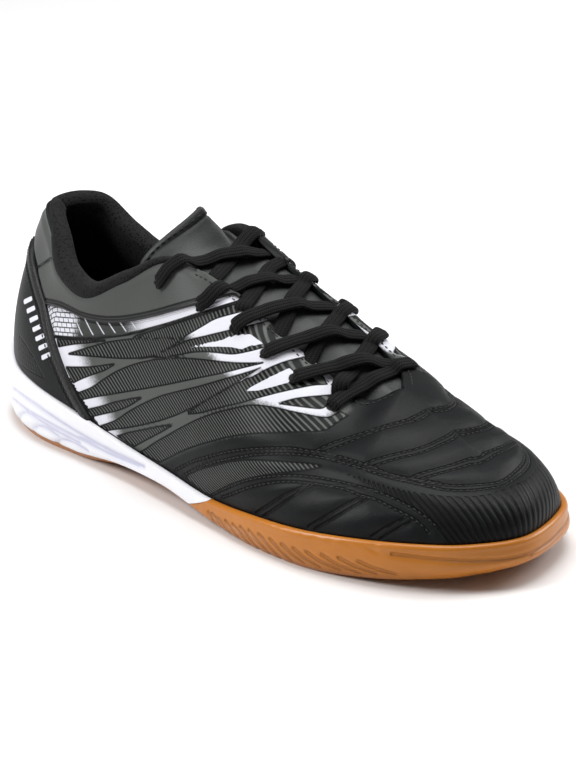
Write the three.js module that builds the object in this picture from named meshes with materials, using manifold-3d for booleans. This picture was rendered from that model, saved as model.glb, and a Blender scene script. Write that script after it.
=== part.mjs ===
// Indoor court shoe for the right foot, in millimetres.
// The form is worked out with x from the heel to the toe, y towards the medial side
// and z up from the floor. Sections run round the foot as a ring: section 0 is the heel,
// 13 is the toe, the lateral side goes out and the medial side comes back.
import * as THREE from 'three';
import { mergeVertices } from 'three/addons/utils/BufferGeometryUtils.js';
import Module from 'manifold-3d';

const wasm = await Module();
wasm.setup();

// Main sizes of the shoe
const SOLE_LENGTH = 295;
const BALL_WIDTH = 104;
const HEEL_TAB_HEIGHT = 87;
const COLLAR_WIDTH = 56;
const HEEL_RIM_HEIGHT = 32;
const TOE_SPRING = 7;

// Thicknesses
const UPPER_WALL = 2;
const OVERLAY_WALL = 0.8;
const STRIP_WALL = 1.5;
const TOE_CAP_WALL = 0.6;
const OUTSOLE_WALL = 3.2;
const INSOLE_WALL = 3.5;
const LINING_PAD = 4.6;
const LINING_EDGE = 1.2;
const LINING_RISE = 1.4;
const TONGUE_WALL = 3.2;

// Fits between pieces
const GAP = 0.3;
const OVERLAY_GAP = 0.5;
const TONGUE_GAP = 0.9;
const RIM_INSET = 1.4;
const RIM_LIP = 1.8;
const UPPER_INSET = RIM_INSET + RIM_LIP + GAP;
const INSOLE_INSET = UPPER_INSET + UPPER_WALL + GAP + 0.2;

// Laces and their holes
const EYELET_RADIUS = 2.2;
const LACE_WIDTH = 6.5;
const LACE_THICKNESS = 1.8;
const LACE_LIFT = 0.8;
const EDGE_LIFT = 2.4;

// Tread and side ribs of the outsole
const TREAD_DEPTH = 1.4;
const TREAD_WIDTH = 2.2;
const PIVOT_RADIUS = 17;
const RIB_COUNT = 10;
const RIB_WIDTH = 1.5;
const RIB_HEIGHT = 0.55;
const RIB_SLANT = 0.42;
const RIB_FOOT = 0.14;
const FIRST_RIB = 7.1;
const LAST_RIB = 9.4;

// Places on the ring of sections
const TOE = 13;
const RING = 2 * TOE;
const THROAT_END = 10;
const STEPS_IN_SECTION = [4, 4, 2, 2, 3, 3, 3, 2, 2, 3, 4, 4, 3];

const table = (names, rows) => rows.map(row => Object.fromEntries(names.map((name, i) => [name, row[i]])));

// Sole outline. along is a share of the length, lateral and medial are half widths as shares
// of the ball width, ground is a share of the toe spring, the rims and the foot bed are shares
// of the rim height at the heel, and tuck is how far the ground edge is drawn in, in millimetres.
const SOLE = table(
  ['along', 'lateral', 'medial', 'ground', 'lateralRim', 'medialRim', 'bed', 'tuck'], [
    [0.000, 0.000, 0.000, 0.35, 1.000, 1.000, 0.64, 3.2],
    [0.030, 0.170, 0.185, 0.15, 0.900, 0.930, 0.64, 3.0],
    [0.090, 0.305, 0.295, 0.03, 0.780, 0.820, 0.63, 3.0],
    [0.170, 0.380, 0.345, 0.00, 0.720, 0.720, 0.58, 3.0],
    [0.270, 0.395, 0.345, 0.00, 0.590, 0.630, 0.48, 4.0],
    [0.370, 0.400, 0.320, 0.42, 0.440, 0.540, 0.36, 7.0],
    [0.470, 0.425, 0.315, 0.55, 0.360, 0.460, 0.27, 5.0],
    [0.570, 0.465, 0.360, 0.20, 0.320, 0.390, 0.245, 3.0],
    [0.670, 0.495, 0.445, 0.00, 0.390, 0.360, 0.27, 2.5],
    [0.760, 0.490, 0.500, 0.00, 0.450, 0.380, 0.30, 2.5],
    [0.840, 0.440, 0.490, 0.20, 0.510, 0.430, 0.345, 3.0],
    [0.910, 0.350, 0.430, 0.50, 0.545, 0.490, 0.41, 3.0],
    [0.966, 0.215, 0.280, 0.75, 0.555, 0.540, 0.46, 3.5],
    [1.000, 0.000, 0.000, 1.00, 0.560, 0.560, 0.49, 4.0]]);

// Top line of the upper: collar, throat edge, then the ridge of the vamp from section 10 on.
// Along is a share of the length, across of the collar width, height of the heel tab height.
const TOP_LINE = table(
  ['lateralAlong', 'lateralAcross', 'lateralHeight', 'medialAlong', 'medialAcross', 'medialHeight'], [
    [0.066, 0.00, 1.005, 0.066, 0.00, 1.005],
    [0.085, -0.15, 0.990, 0.083, 0.20, 1.015],
    [0.129, -0.29, 0.930, 0.109, 0.37, 0.980],
    [0.186, -0.45, 0.833, 0.153, 0.43, 0.872],
    [0.261, -0.53, 0.793, 0.231, 0.46, 0.790],
    [0.332, -0.48, 0.908, 0.312, 0.44, 0.905],
    [0.410, -0.35, 1.029, 0.390, 0.38, 1.063],
    [0.522, -0.205, 0.885, 0.502, 0.32, 0.954],
    [0.627, -0.134, 0.707, 0.614, 0.31, 0.805],
    [0.715, -0.063, 0.580, 0.705, 0.30, 0.661],
    [0.749, 0.14, 0.621, 0.749, 0.14, 0.621],
    [0.797, 0.13, 0.572, 0.797, 0.13, 0.572],
    [0.847, 0.12, 0.517, 0.847, 0.12, 0.517],
    [0.875, 0.10, 0.483, 0.875, 0.10, 0.483]]);

// How each section bulges on its way up. rise is the height of the lower handle and drop that
// of the upper one as shares of the section's height, swell is how far the lower handle leans
// out in millimetres, reach is a share of the run in plan, and pitch is the slope of the ridge.
const BULGE = table(
  ['rise', 'swell', 'reach', 'drop', 'pitch'], [
    [0.55, 2.0, 0.10, 0.12, 0.00],
    [0.50, 0.8, 0.06, 0.24, 0.00],
    [0.46, -0.6, 0.03, 0.34, 0.00],
    [0.44, -0.8, 0.02, 0.40, 0.00],
    [0.44, 0.0, 0.02, 0.42, 0.00],
    [0.44, 1.0, 0.10, 0.36, 0.00],
    [0.45, 1.0, 0.28, 0.18, -0.20],
    [0.46, 1.0, 0.42, 0.03, -0.30],
    [0.46, 0.6, 0.46, 0.00, -0.37],
    [0.45, 0.2, 0.47, 0.02, -0.36],
    [0.44, 0.0, 0.48, 0.02, -0.31],
    [0.47, 0.3, 0.50, 0.02, -0.32],
    [0.52, 1.0, 0.54, 0.02, -0.35],
    [0.58, 1.8, 0.58, 0.02, -0.42]]);

// Smooth interpolation
const mix = (a, b, t) => a + (b - a) * t;
const clamp = THREE.MathUtils.clamp;
const wrap = u => ((u % RING) + RING) % RING;
const sectionOf = u => TOE - Math.abs(TOE - wrap(u));

function smoothBetween(before, from, to, after, t) {
  const bend = 2 * before - 5 * from + 4 * to - after;
  const twist = -before + 3 * from - 3 * to + after;
  return 0.5 * (2 * from + (to - before) * t + bend * t * t + twist * t ** 3);
}

function ringValue(values, u) {
  const at = wrap(u);
  const i = Math.floor(at);
  const pick = k => values[(k + RING) % RING];
  return smoothBetween(pick(i - 1), pick(i), pick(i + 1), pick(i + 2), at - i);
}

const ringOf = (lateral, medial) => [...lateral, ...medial.slice(1, TOE).reverse()];
const column = (rows, name, size = 1) => rows.map(row => row[name] * size);
const sideRing = (rows, lateralName, medialName, size = 1) =>
  ringOf(column(rows, lateralName, size), column(rows, medialName, size));
const sharedRing = (rows, name, size = 1) => sideRing(rows, name, name, size);

// Sole form
const outlineX = sharedRing(SOLE, 'along', SOLE_LENGTH);
const outlineY = ringOf(column(SOLE, 'lateral', -BALL_WIDTH), column(SOLE, 'medial', BALL_WIDTH));
const groundRing = sharedRing(SOLE, 'ground', TOE_SPRING);
const rimRing = sideRing(SOLE, 'lateralRim', 'medialRim', HEEL_RIM_HEIGHT);
const bedRing = sharedRing(SOLE, 'bed', HEEL_RIM_HEIGHT);
const tuckRing = sharedRing(SOLE, 'tuck');

const groundHeight = u => Math.max(0, ringValue(groundRing, u));
const bedHeight = u => ringValue(bedRing, u);
const rimHeight = u => ringValue(rimRing, u);

function outlineNormal(u) {
  const step = 0.001;
  const dx = ringValue(outlineX, u + step) - ringValue(outlineX, u - step);
  const dy = ringValue(outlineY, u + step) - ringValue(outlineY, u - step);
  return new THREE.Vector2(dy, -dx).normalize();
}

function outlinePoint(u, inset, height) {
  const normal = outlineNormal(u);
  const x = ringValue(outlineX, u) - normal.x * inset;
  const y = ringValue(outlineY, u) - normal.y * inset;
  return new THREE.Vector3(x, y, height);
}

// Side wall of the sole from the ground edge, 0, to the rim, 1
const WALL_LEVELS = [0, 0.12, 0.38, 0.75, 1];

function wallInset(u, level) {
  const tucked = ringValue(tuckRing, u) * Math.max(0, 1 - level / 0.42) ** 2;
  const leaning = RIM_INSET * Math.max(0, (level - 0.35) / 0.65) ** 1.6;
  return tucked + leaning;
}

const wallPoint = (u, level, out = 0) =>
  outlinePoint(u, wallInset(u, level) - out, mix(groundHeight(u), rimHeight(u), level));

// Upper form: a section's curve climbs from the rim of the sole to the top line
const topX = sideRing(TOP_LINE, 'lateralAlong', 'medialAlong', SOLE_LENGTH);
const topY = sideRing(TOP_LINE, 'lateralAcross', 'medialAcross', COLLAR_WIDTH);
const topZ = sideRing(TOP_LINE, 'lateralHeight', 'medialHeight', HEEL_TAB_HEIGHT);
const riseRing = sharedRing(BULGE, 'rise');
const swellRing = sharedRing(BULGE, 'swell');
const reachRing = sharedRing(BULGE, 'reach');
const dropRing = sharedRing(BULGE, 'drop');
const pitchRing = sharedRing(BULGE, 'pitch');

// Past the throat both sides share the ridge, so it is read from one side's rows alone
function topValue(values, u) {
  const section = sectionOf(u);
  if (section < THROAT_END) return ringValue(values, u);
  const i = Math.min(Math.floor(section), TOE - 1);
  const row = k => values[clamp(k, THROAT_END, TOE)];
  return smoothBetween(row(i - 1), row(i), row(i + 1), row(i + 2), section - i);
}

const topPoint = u => new THREE.Vector3(topValue(topX, u), topValue(topY, u), topValue(topZ, u));

// Level -1 is the foot bed inside the sole, 0 is the sole's rim and 1 is the top line
function formPoint(u, level) {
  const base = outlinePoint(u, UPPER_INSET, rimHeight(u));
  if (level < 0) return base.setZ(mix(base.z, bedHeight(u) + GAP, -level));
  const top = topPoint(u);
  const height = top.z - base.z;
  const normal = outlineNormal(u);
  const swell = ringValue(swellRing, u);
  const low = base.clone();
  low.x += normal.x * swell;
  low.y += normal.y * swell;
  low.z += height * ringValue(riseRing, u);
  const reach = ringValue(reachRing, u);
  const high = top.clone();
  high.x += (base.x - top.x) * reach;
  high.y += (base.y - top.y) * reach;
  high.z += ringValue(pitchRing, u) * (base.x - top.x) * reach - height * ringValue(dropRing, u);
  const rest = 1 - level;
  return base.multiplyScalar(rest ** 3)
    .addScaledVector(low, 3 * rest * rest * level)
    .addScaledVector(high, 3 * rest * level * level)
    .addScaledVector(top, level ** 3);
}

function slopeNormal(u, level) {
  const step = 0.01;
  const at = clamp(level, step, 1 - 2 * step);
  const along = formPoint(u + step, at).sub(formPoint(u - step, at));
  const up = formPoint(u, at + step).sub(formPoint(u, at - step));
  return along.cross(up).normalize();
}

function formNormal(u, level) {
  if (level < 0) {
    const normal = outlineNormal(u);
    return new THREE.Vector3(normal.x, normal.y, 0);
  }
  const normal = slopeNormal(u, level);
  const onRidge = level === 1 && sectionOf(u) >= THROAT_END;
  return onRidge ? normal.add(slopeNormal(RING - u, level)).normalize() : normal;
}

// A point at a distance out of the upper's outer face
const skin = (u, level, out) => formPoint(u, level).addScaledVector(formNormal(u, level), out);

// Meshes from triangles
function quad(triangles, a, b, c, d) {
  triangles.push(a, b, c, a, c, d);
}

function closedGeometry(triangles) {
  const geometry = new THREE.BufferGeometry().setFromPoints(triangles);
  return mergeVertices(geometry, 1e-4);
}

const evenly = steps => Array.from({ length: steps + 1 }, (_, i) => i / steps);

// A slab between two skins over lists of places along and across: place(along, across, face)
// gives its points, face 0 outside and 1 inside
function slab(alongs, acrosses, place) {
  const skins = [0, 1].map(face => alongs.map(along => acrosses.map(across => place(along, across, face))));
  const [outer, inner] = skins;
  const columns = alongs.length - 1;
  const rows = acrosses.length - 1;
  const triangles = [];
  for (let i = 0; i < columns; i++) {
    for (let j = 0; j < rows; j++) {
      quad(triangles, outer[i][j], outer[i + 1][j], outer[i + 1][j + 1], outer[i][j + 1]);
      quad(triangles, inner[i][j + 1], inner[i + 1][j + 1], inner[i + 1][j], inner[i][j]);
    }
    quad(triangles, outer[i + 1][0], outer[i][0], inner[i][0], inner[i + 1][0]);
    quad(triangles, outer[i][rows], outer[i + 1][rows], inner[i + 1][rows], inner[i][rows]);
  }
  for (let j = 0; j < rows; j++) {
    quad(triangles, outer[0][j], outer[0][j + 1], inner[0][j + 1], inner[0][j]);
    quad(triangles, outer[columns][j + 1], outer[columns][j], inner[columns][j], inner[columns][j + 1]);
  }
  return closedGeometry(triangles);
}

// A body through rings of points that climb the outside, capped at the first and last ring
function loft(rings) {
  const count = rings[0].length;
  const triangles = [];
  for (let level = 0; level + 1 < rings.length; level++) {
    for (let i = 0; i < count; i++) {
      const next = (i + 1) % count;
      quad(triangles, rings[level][i], rings[level][next], rings[level + 1][next], rings[level + 1][i]);
    }
  }
  const half = count / 2;
  const cap = (ring, up) => {
    for (let i = 0; i < half; i++) {
      const corners = [ring[i], ring[i + 1], ring[count - i - 1], ring[(count - i) % count]];
      if (i === 0) corners.pop();
      if (i === half - 1) corners.splice(2, 1);
      if (!up) corners.reverse();
      triangles.push(corners[0], corners[1], corners[2]);
      if (corners.length === 4) triangles.push(corners[0], corners[2], corners[3]);
    }
  };
  cap(rings[0], false);
  cap(rings[rings.length - 1], true);
  return closedGeometry(triangles);
}

const lateralPlaces = STEPS_IN_SECTION.flatMap((steps, section) =>
  Array.from({ length: steps }, (_, i) => section + i / steps));
const medialPlaces = lateralPlaces.slice(1).reverse().map(u => RING - u);
const ringPlaces = [...lateralPlaces, TOE, ...medialPlaces];
const ringPoints = place => ringPlaces.map(place);

// Booleans
function solidOf(source) {
  const bare = source.clone();
  bare.deleteAttribute('normal');
  bare.deleteAttribute('uv');
  const merged = mergeVertices(bare, 1e-4);
  return new wasm.Manifold(new wasm.Mesh({
    numProp: 3,
    vertProperties: new Float32Array(merged.attributes.position.array),
    triVerts: new Uint32Array(merged.index.array),
  }));
}

function geometryOf(solid) {
  const mesh = solid.getMesh();
  const geometry = new THREE.BufferGeometry();
  geometry.setAttribute('position', new THREE.BufferAttribute(mesh.vertProperties, 3));
  geometry.setIndex(new THREE.BufferAttribute(mesh.triVerts, 1));
  return geometry;
}

// Outsole and midsole are two cuts of one cup
function soleCup() {
  const wall = WALL_LEVELS.map(level => ringPoints(u => wallPoint(u, level)));
  const inner = RIM_INSET + RIM_LIP;
  const lip = ringPoints(u => outlinePoint(u, inner, rimHeight(u)));
  const bed = ringPoints(u => outlinePoint(u, inner, bedHeight(u)));
  return solidOf(loft([...wall, lip, bed]));
}

// The gum rubber lies under the midsole as far as the waist and rises to the rim from there on
const RUBBER_RISES = 0.535;
const RUBBER_AT_RIM = 0.575;
const BELOW_ALL = -20;
const ABOVE_ALL = 80;

function sidePrism(points) {
  const depth = 2 * BALL_WIDTH;
  const shape = new THREE.Shape(points);
  const geometry = new THREE.ExtrudeGeometry(shape, { depth, bevelEnabled: false, curveSegments: 1 });
  geometry.rotateX(Math.PI / 2);
  geometry.translate(0, BALL_WIDTH, 0);
  return solidOf(geometry);
}

function partingLine(lift) {
  const points = [];
  for (const u of lateralPlaces) {
    const x = ringValue(outlineX, u);
    if (x < RUBBER_RISES * SOLE_LENGTH - 2) points.push(new THREE.Vector2(x, groundHeight(u) + OUTSOLE_WALL + lift));
  }
  points[0].x -= SOLE_LENGTH;
  const rise = points[points.length - 1].y;
  points.push(new THREE.Vector2(RUBBER_RISES * SOLE_LENGTH - lift, rise));
  points.push(new THREE.Vector2(RUBBER_AT_RIM * SOLE_LENGTH - lift, 0.45 * HEEL_RIM_HEIGHT));
  points.push(new THREE.Vector2(RUBBER_AT_RIM * SOLE_LENGTH - lift, ABOVE_ALL));
  return points;
}

function midsole(cup) {
  const region = partingLine(GAP);
  region.push(new THREE.Vector2(region[0].x, ABOVE_ALL));
  return cup.intersect(sidePrism(region));
}

function treadGrooves() {
  const places = [0.06, 0.11, 0.16, 0.21, 0.26, 0.60, 0.65, 0.85, 0.895, 0.94];
  const grooves = places.map(share => {
    const x = share * SOLE_LENGTH;
    let u = 0;
    while (ringValue(outlineX, u) < x) u += 0.02;
    const bar = new THREE.BoxGeometry(TREAD_WIDTH, 2 * BALL_WIDTH, 2 * TREAD_DEPTH);
    return solidOf(bar.translate(x, 0, groundHeight(u)));
  });
  const centre = 0.745 * SOLE_LENGTH;
  const disc = radius => {
    const plate = new THREE.CylinderGeometry(radius, radius, 2 * TREAD_DEPTH, 20);
    return solidOf(plate.rotateX(Math.PI / 2).translate(centre, 0, 0));
  };
  grooves.push(disc(PIVOT_RADIUS).subtract(disc(PIVOT_RADIUS - TREAD_WIDTH)));
  return grooves;
}

// Slanted ribs on the side of the forefoot, each shorter than the one behind it. Their places
// are sections, and their heights are levels of the side wall.
function sideRib(start, top, medial) {
  const halfWidth = RIB_WIDTH / 2 / (0.1 * SOLE_LENGTH);
  return slab(evenly(2), evenly(1), (s, r, face) => {
    const down = medial ? 1 - s : s;
    const section = start + RIB_SLANT * down + mix(-1, 1, r) * halfWidth * (face ? 1.5 : 0.6);
    const u = medial ? RING - section : section;
    return wallPoint(u, mix(top, RIB_FOOT, down), face ? -RIB_HEIGHT : RIB_HEIGHT);
  });
}

function outsole(cup) {
  const region = partingLine(0);
  region.push(new THREE.Vector2(2 * SOLE_LENGTH, ABOVE_ALL));
  region.push(new THREE.Vector2(2 * SOLE_LENGTH, BELOW_ALL));
  region.push(new THREE.Vector2(region[0].x, BELOW_ALL));
  let body = cup.intersect(sidePrism(region));
  for (const medial of [false, true]) {
    for (let i = 0; i < RIB_COUNT; i++) {
      const share = i / (RIB_COUNT - 1);
      body = body.add(solidOf(sideRib(mix(FIRST_RIB, LAST_RIB, share), mix(0.86, 0.42, share), medial)));
    }
  }
  for (const groove of treadGrooves()) body = body.subtract(groove);
  return body;
}

function insole() {
  const levels = [[0, 0], [0.7, 0], [1, 0.6]];
  return loft(levels.map(([share, inset]) =>
    ringPoints(u => outlinePoint(u, INSOLE_INSET + inset, bedHeight(u) + GAP + INSOLE_WALL * share))));
}

// A shell of the upper's form between two distances from its outer face. It is open along its
// lowest level, and along the top line from the heel to the end of the throat.
function formShell(levels, near, far) {
  const outer = levels.map(level => ringPoints(u => skin(u, level, far)));
  const inner = levels.map(level => ringPoints(u => skin(u, level, near)));
  const count = ringPlaces.length;
  const last = levels.length - 1;
  const triangles = [];
  for (let i = 0; i < count; i++) {
    const next = (i + 1) % count;
    for (let j = 0; j < last; j++) {
      quad(triangles, outer[j][i], outer[j][next], outer[j + 1][next], outer[j + 1][i]);
      quad(triangles, inner[j + 1][i], inner[j + 1][next], inner[j][next], inner[j][i]);
    }
    quad(triangles, outer[0][next], outer[0][i], inner[0][i], inner[0][next]);
    const open = Math.min(sectionOf(ringPlaces[i]), sectionOf(ringPlaces[next])) < THROAT_END;
    if (open) quad(triangles, outer[last][i], outer[last][next], inner[last][next], inner[last][i]);
  }
  return solidOf(closedGeometry(triangles));
}

const SIDE_LEVELS = [0.16, 0.36, 0.56, 0.75, 0.89];
const upperShell = () => formShell([-1, 0, ...SIDE_LEVELS, 1], -UPPER_WALL, 0);

// Lace holes as places on the form, from the top pair to the lowest
const EYELETS = table(
  ['lateral', 'lateralLevel', 'medial', 'medialLevel'], [
    [5.80, 0.84, 5.95, 0.84],
    [6.46, 0.78, 6.50, 0.83],
    [7.00, 0.78, 7.05, 0.84],
    [7.52, 0.79, 7.60, 0.85],
    [8.02, 0.80, 8.20, 0.86],
    [8.68, 0.82, 8.85, 0.86]]);

const eyeletPlace = (i, medial) =>
  (medial ? [RING - EYELETS[i].medial, EYELETS[i].medialLevel] : [EYELETS[i].lateral, EYELETS[i].lateralLevel]);

function eyeletHole(i, medial) {
  const [u, level] = eyeletPlace(i, medial);
  const pin = new THREE.CylinderGeometry(EYELET_RADIUS, EYELET_RADIUS, 4 * UPPER_WALL, 10);
  const turn = new THREE.Quaternion().setFromUnitVectors(new THREE.Vector3(0, 1, 0), formNormal(u, level));
  pin.applyQuaternion(turn);
  const centre = skin(u, level, -UPPER_WALL / 2);
  return solidOf(pin.translate(centre.x, centre.y, centre.z));
}

const eyeletHoles = EYELETS.flatMap((_, i) => [eyeletHole(i, false), eyeletHole(i, true)]);
const punched = solid => eyeletHoles.reduce((left, hole) => left.subtract(hole), solid);

// Overlays are cut from a shell just outside the upper, by outlines in side view.
// Their tables give places as shares of the length and of the heel tab height.
const sidePoints = (rows, shift = 0) =>
  rows.map(([along, height]) => new THREE.Vector2(along * SOLE_LENGTH + shift, height * HEEL_TAB_HEIGHT));

const overlayShell = wall => formShell([0.02, ...SIDE_LEVELS, 1], OVERLAY_GAP, OVERLAY_GAP + wall);

// Front edge of the heel counter, and the raised strip along it
const COUNTER_EDGE = [[0.0, 1.1], [0.143, 0.70], [0.257, 0.41], [0.32, 0.19], [0.36, 0]];
const STRIP_WIDTH = 4;

function counterPanel() {
  const outline = [...sidePoints(COUNTER_EDGE), new THREE.Vector2(-SOLE_LENGTH, BELOW_ALL)];
  outline.push(new THREE.Vector2(-SOLE_LENGTH, 2 * ABOVE_ALL));
  return overlayShell(OVERLAY_WALL).intersect(sidePrism(outline));
}

function counterStrip() {
  const back = sidePoints(COUNTER_EDGE, GAP);
  const front = sidePoints(COUNTER_EDGE, GAP + STRIP_WIDTH).reverse();
  return overlayShell(STRIP_WALL).intersect(sidePrism([...back, ...front]));
}

// Smooth leather round the collar, above a double seam that runs forward from the strip
const COLLAR_SEAM = [[0.0, 1.1], [0.143, 0.70], [0.165, 0.64], [0.243, 0.655], [0.328, 0.715], [0.393, 0.785], [0.472, 0.885]];

function collarPanel() {
  const shift = 2 * GAP + STRIP_WIDTH;
  const outline = sidePoints(COLLAR_SEAM);
  for (const point of outline.slice(0, 3)) point.x += shift + GAP;
  outline.push(...sidePoints([[0.51, 1], [0.51, 2], [0, 2]]));
  return overlayShell(OVERLAY_WALL).intersect(sidePrism(outline));
}

// Ribbed cap over the toe
const CAP_EDGE = [[0.93, 0], [0.925, 0.23], [0.89, 0.32], [0.895, 0.40], [1.1, 0.40], [1.1, 0]];

const toeCap = () => overlayShell(TOE_CAP_WALL).intersect(sidePrism(sidePoints(CAP_EDGE)));

// Padded roll inside the collar
const LINING_END = 6 + 1 / 3;
const liningPlaces = ringPlaces.filter(u => sectionOf(u) <= LINING_END + 0.01)
  .map(u => (u > TOE ? u - RING : u)).sort((a, b) => a - b);
const LINING_LEVELS = [...SIDE_LEVELS.slice(1), 1, 1.1];
const liningFade = u => 1 - (Math.abs(u) / (LINING_END + 0.1)) ** 6;

function liningPad(u, level) {
  const heel = mix(0.55, 1, clamp(Math.abs(u) / 3, 0, 1));
  const rise = (level - LINING_LEVELS[0]) / (1.1 - LINING_LEVELS[0]);
  const roll = Math.sin(Math.PI * rise ** 1.7);
  return LINING_EDGE + (LINING_PAD - LINING_EDGE) * liningFade(u) * heel * roll;
}

const collarLining = () => slab(liningPlaces, LINING_LEVELS, (u, level, face) => {
  const out = UPPER_WALL + GAP + (face ? liningPad(u, level) : 0);
  const point = skin(u, Math.min(level, 1), -out);
  if (level > 1) point.z += LINING_RISE * liningFade(u);
  return point;
});

// Tongue: a crown line up the instep, with sides that dip under the upper
const CROWN = table(
  ['section', 'along', 'across', 'height'], [
    [5, 0.376, 0.06, 1.205],
    [6, 0.436, 0.07, 1.110],
    [7, 0.520, 0.07, 0.985],
    [8, 0.622, 0.09, 0.825],
    [9, 0.708, 0.11, 0.660],
    [10, 0.753, 0.135, 0.572]]);
const TONGUE_TOP = 5;
const TONGUE_ROOT = 10.4;
const TONGUE_TUCK = 0.2;

function crownPoint(section) {
  const i = clamp(Math.floor(section) - TONGUE_TOP, 0, CROWN.length - 2);
  const row = k => CROWN[clamp(k, 0, CROWN.length - 1)];
  const t = section - TONGUE_TOP - i;
  const read = name => smoothBetween(row(i - 1)[name], row(i)[name], row(i + 1)[name], row(i + 2)[name], t);
  return new THREE.Vector3(
    read('along') * SOLE_LENGTH, read('across') * COLLAR_WIDTH, read('height') * HEEL_TAB_HEIGHT);
}

// Clear of the collar lining near the top, close under the upper further down
function tongueDepth(section) {
  const lined = UPPER_WALL + GAP + LINING_PAD + TONGUE_GAP;
  return mix(lined, UPPER_WALL + TONGUE_GAP, THREE.MathUtils.smoothstep(section, 6.2, 7));
}

// across runs from -1 at the lateral edge over 0 at the crown to 1 at the medial edge
function tonguePoint(section, across) {
  const u = across < 0 ? section : RING - section;
  const depth = tongueDepth(section);
  const edge = skin(u, 1, -depth);
  const crown = section < THROAT_END ? crownPoint(section) : edge;
  const arc = section < THROAT_END ? crown.distanceTo(edge) : 0;
  const flap = edge.distanceTo(skin(u, 1 - TONGUE_TUCK, -depth));
  const split = arc / (arc + flap);
  const share = Math.abs(across);
  if (share >= split) return skin(u, 1 - TONGUE_TUCK * (share - split) / (1 - split), -depth);
  const drop = crown.z - edge.z;
  const laced = THREE.MathUtils.smoothstep(section, 5.6, 7);
  const nearCrown = crown.clone().lerp(edge, 0.3);
  nearCrown.z += 0.25 * laced * drop;
  const nearEdge = edge.clone().lerp(crown, 0.4 * laced);
  nearEdge.z += mix(0.35, 0, laced) * drop;
  return new THREE.CubicBezierCurve3(crown, nearCrown, nearEdge, edge).getPoint(share / split);
}

function tongueNormal(section, across) {
  const step = 0.02;
  const at = clamp(across, step - 1, 1 - step);
  const low = clamp(section, TONGUE_TOP + step, TONGUE_ROOT - step);
  const along = tonguePoint(low + step, at).sub(tonguePoint(low - step, at));
  const side = tonguePoint(low, at + step).sub(tonguePoint(low, at - step));
  return along.cross(side).normalize();
}

const tongue = () => slab(evenly(17), evenly(10), (s, r, face) => {
  const section = mix(TONGUE_TOP, TONGUE_ROOT, s);
  const across = mix(-1, 1, r);
  const point = tonguePoint(section, across);
  return face ? point.addScaledVector(tongueNormal(section, across), -TONGUE_WALL) : point;
});

// Laces. A strip lies over the flap at its upper hole, crosses the tongue and stops
// beside the other flap at the next pair of holes.
function laceStrip(stations, steps) {
  const path = new THREE.CatmullRomCurve3(stations.map(station => station.point));
  const normals = new THREE.CatmullRomCurve3(stations.map(station => station.normal));
  return slab(evenly(steps), evenly(1), (s, r, face) => {
    const up = normals.getPoint(s).normalize();
    const side = path.getTangent(s).cross(up).normalize();
    return path.getPoint(s)
      .addScaledVector(side, mix(0.5, -0.5, r) * LACE_WIDTH)
      .addScaledVector(up, face ? 0 : LACE_THICKNESS);
  });
}

const PANEL_PAIRS = 2;
const onFlap = (i, u, level, lift = 0) => {
  const under = i < PANEL_PAIRS ? OVERLAY_GAP + OVERLAY_WALL : 0;
  return { point: skin(u, level, under + LACE_LIFT + lift), normal: formNormal(u, level) };
};

function onTongue(section, across, lift) {
  const normal = tongueNormal(section, across);
  return { point: tonguePoint(section, across).addScaledVector(normal, lift), normal };
}

function laceLeg(i, medial) {
  const side = medial ? 1 : -1;
  const [u, level] = eyeletPlace(i, medial);
  const section = sectionOf(u);
  const next = sectionOf(eyeletPlace(i + 1, !medial)[0]);
  return laceStrip([
    onFlap(i, u, level + 0.03),
    onFlap(i, u, 0.95, EDGE_LIFT),
    onFlap(i, u, 1, 2 * EDGE_LIFT),
    onTongue(mix(section, next, 0.3), side * 0.3, 2.8),
    onTongue(mix(section, next, 0.5), 0, 2.2),
    onTongue(mix(section, next, 0.62), -side * 0.25, 1.6)], 7);
}

const laceCrossing = i => solidOf(laceLeg(i, false)).add(solidOf(laceLeg(i, true)));

function laceBar() {
  const last = EYELETS.length - 1;
  const [lateral, lateralLevel] = eyeletPlace(last, false);
  const [medial, medialLevel] = eyeletPlace(last, true);
  const section = (lateral + RING - medial) / 2;
  return laceStrip([
    onFlap(last, lateral, lateralLevel + 0.03),
    onFlap(last, lateral, 0.97),
    onTongue(section, 0, 2.2),
    onFlap(last, medial, 0.97),
    onFlap(last, medial, medialLevel + 0.03)], 8);
}

// Materials
const material = (color, roughness) => new THREE.MeshStandardMaterial({ color, roughness, metalness: 0 });
const gumRubber = material(0xb5702c, 0.45);
const whiteFoam = material(0xeceef5, 0.55);
const blackLeather = material(0x2d3032, 0.5);
const blackTextile = material(0x17181a, 0.9);
const laceTextile = material(0x111214, 0.85);

// Assembly
const shoe = new THREE.Group();

function addPart(name, shape, finish) {
  const geometry = shape.isBufferGeometry ? shape : geometryOf(shape);
  const mesh = new THREE.Mesh(geometry, finish);
  mesh.name = name;
  shoe.add(mesh);
}

const cup = soleCup();
addPart('outsole', outsole(cup), gumRubber);
addPart('midsole', midsole(cup), whiteFoam);
addPart('insole', insole(), blackTextile);
addPart('upper', punched(upperShell()), blackLeather);
addPart('toe_cap', toeCap(), blackLeather);
addPart('heel_counter', counterPanel(), blackLeather);
addPart('counter_strip', counterStrip(), blackLeather);
addPart('collar_panel', punched(collarPanel()), blackLeather);
addPart('collar_lining', collarLining(), blackTextile);
addPart('tongue', tongue(), blackLeather);
for (let i = 0; i + 1 < EYELETS.length; i++) addPart(`lace_crossing_${i + 1}`, laceCrossing(i), laceTextile);
addPart('lace_bar', laceBar(), laceTextile);

// The origin is on the floor, under the middle of the length and of the width
const reach = new THREE.Box3().setFromPoints(ringPoints(u => outlinePoint(u, 0, 0)));
const middle = reach.getCenter(new THREE.Vector3());
shoe.position.set(-middle.x, -middle.y, 0);

export default shoe;
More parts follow.
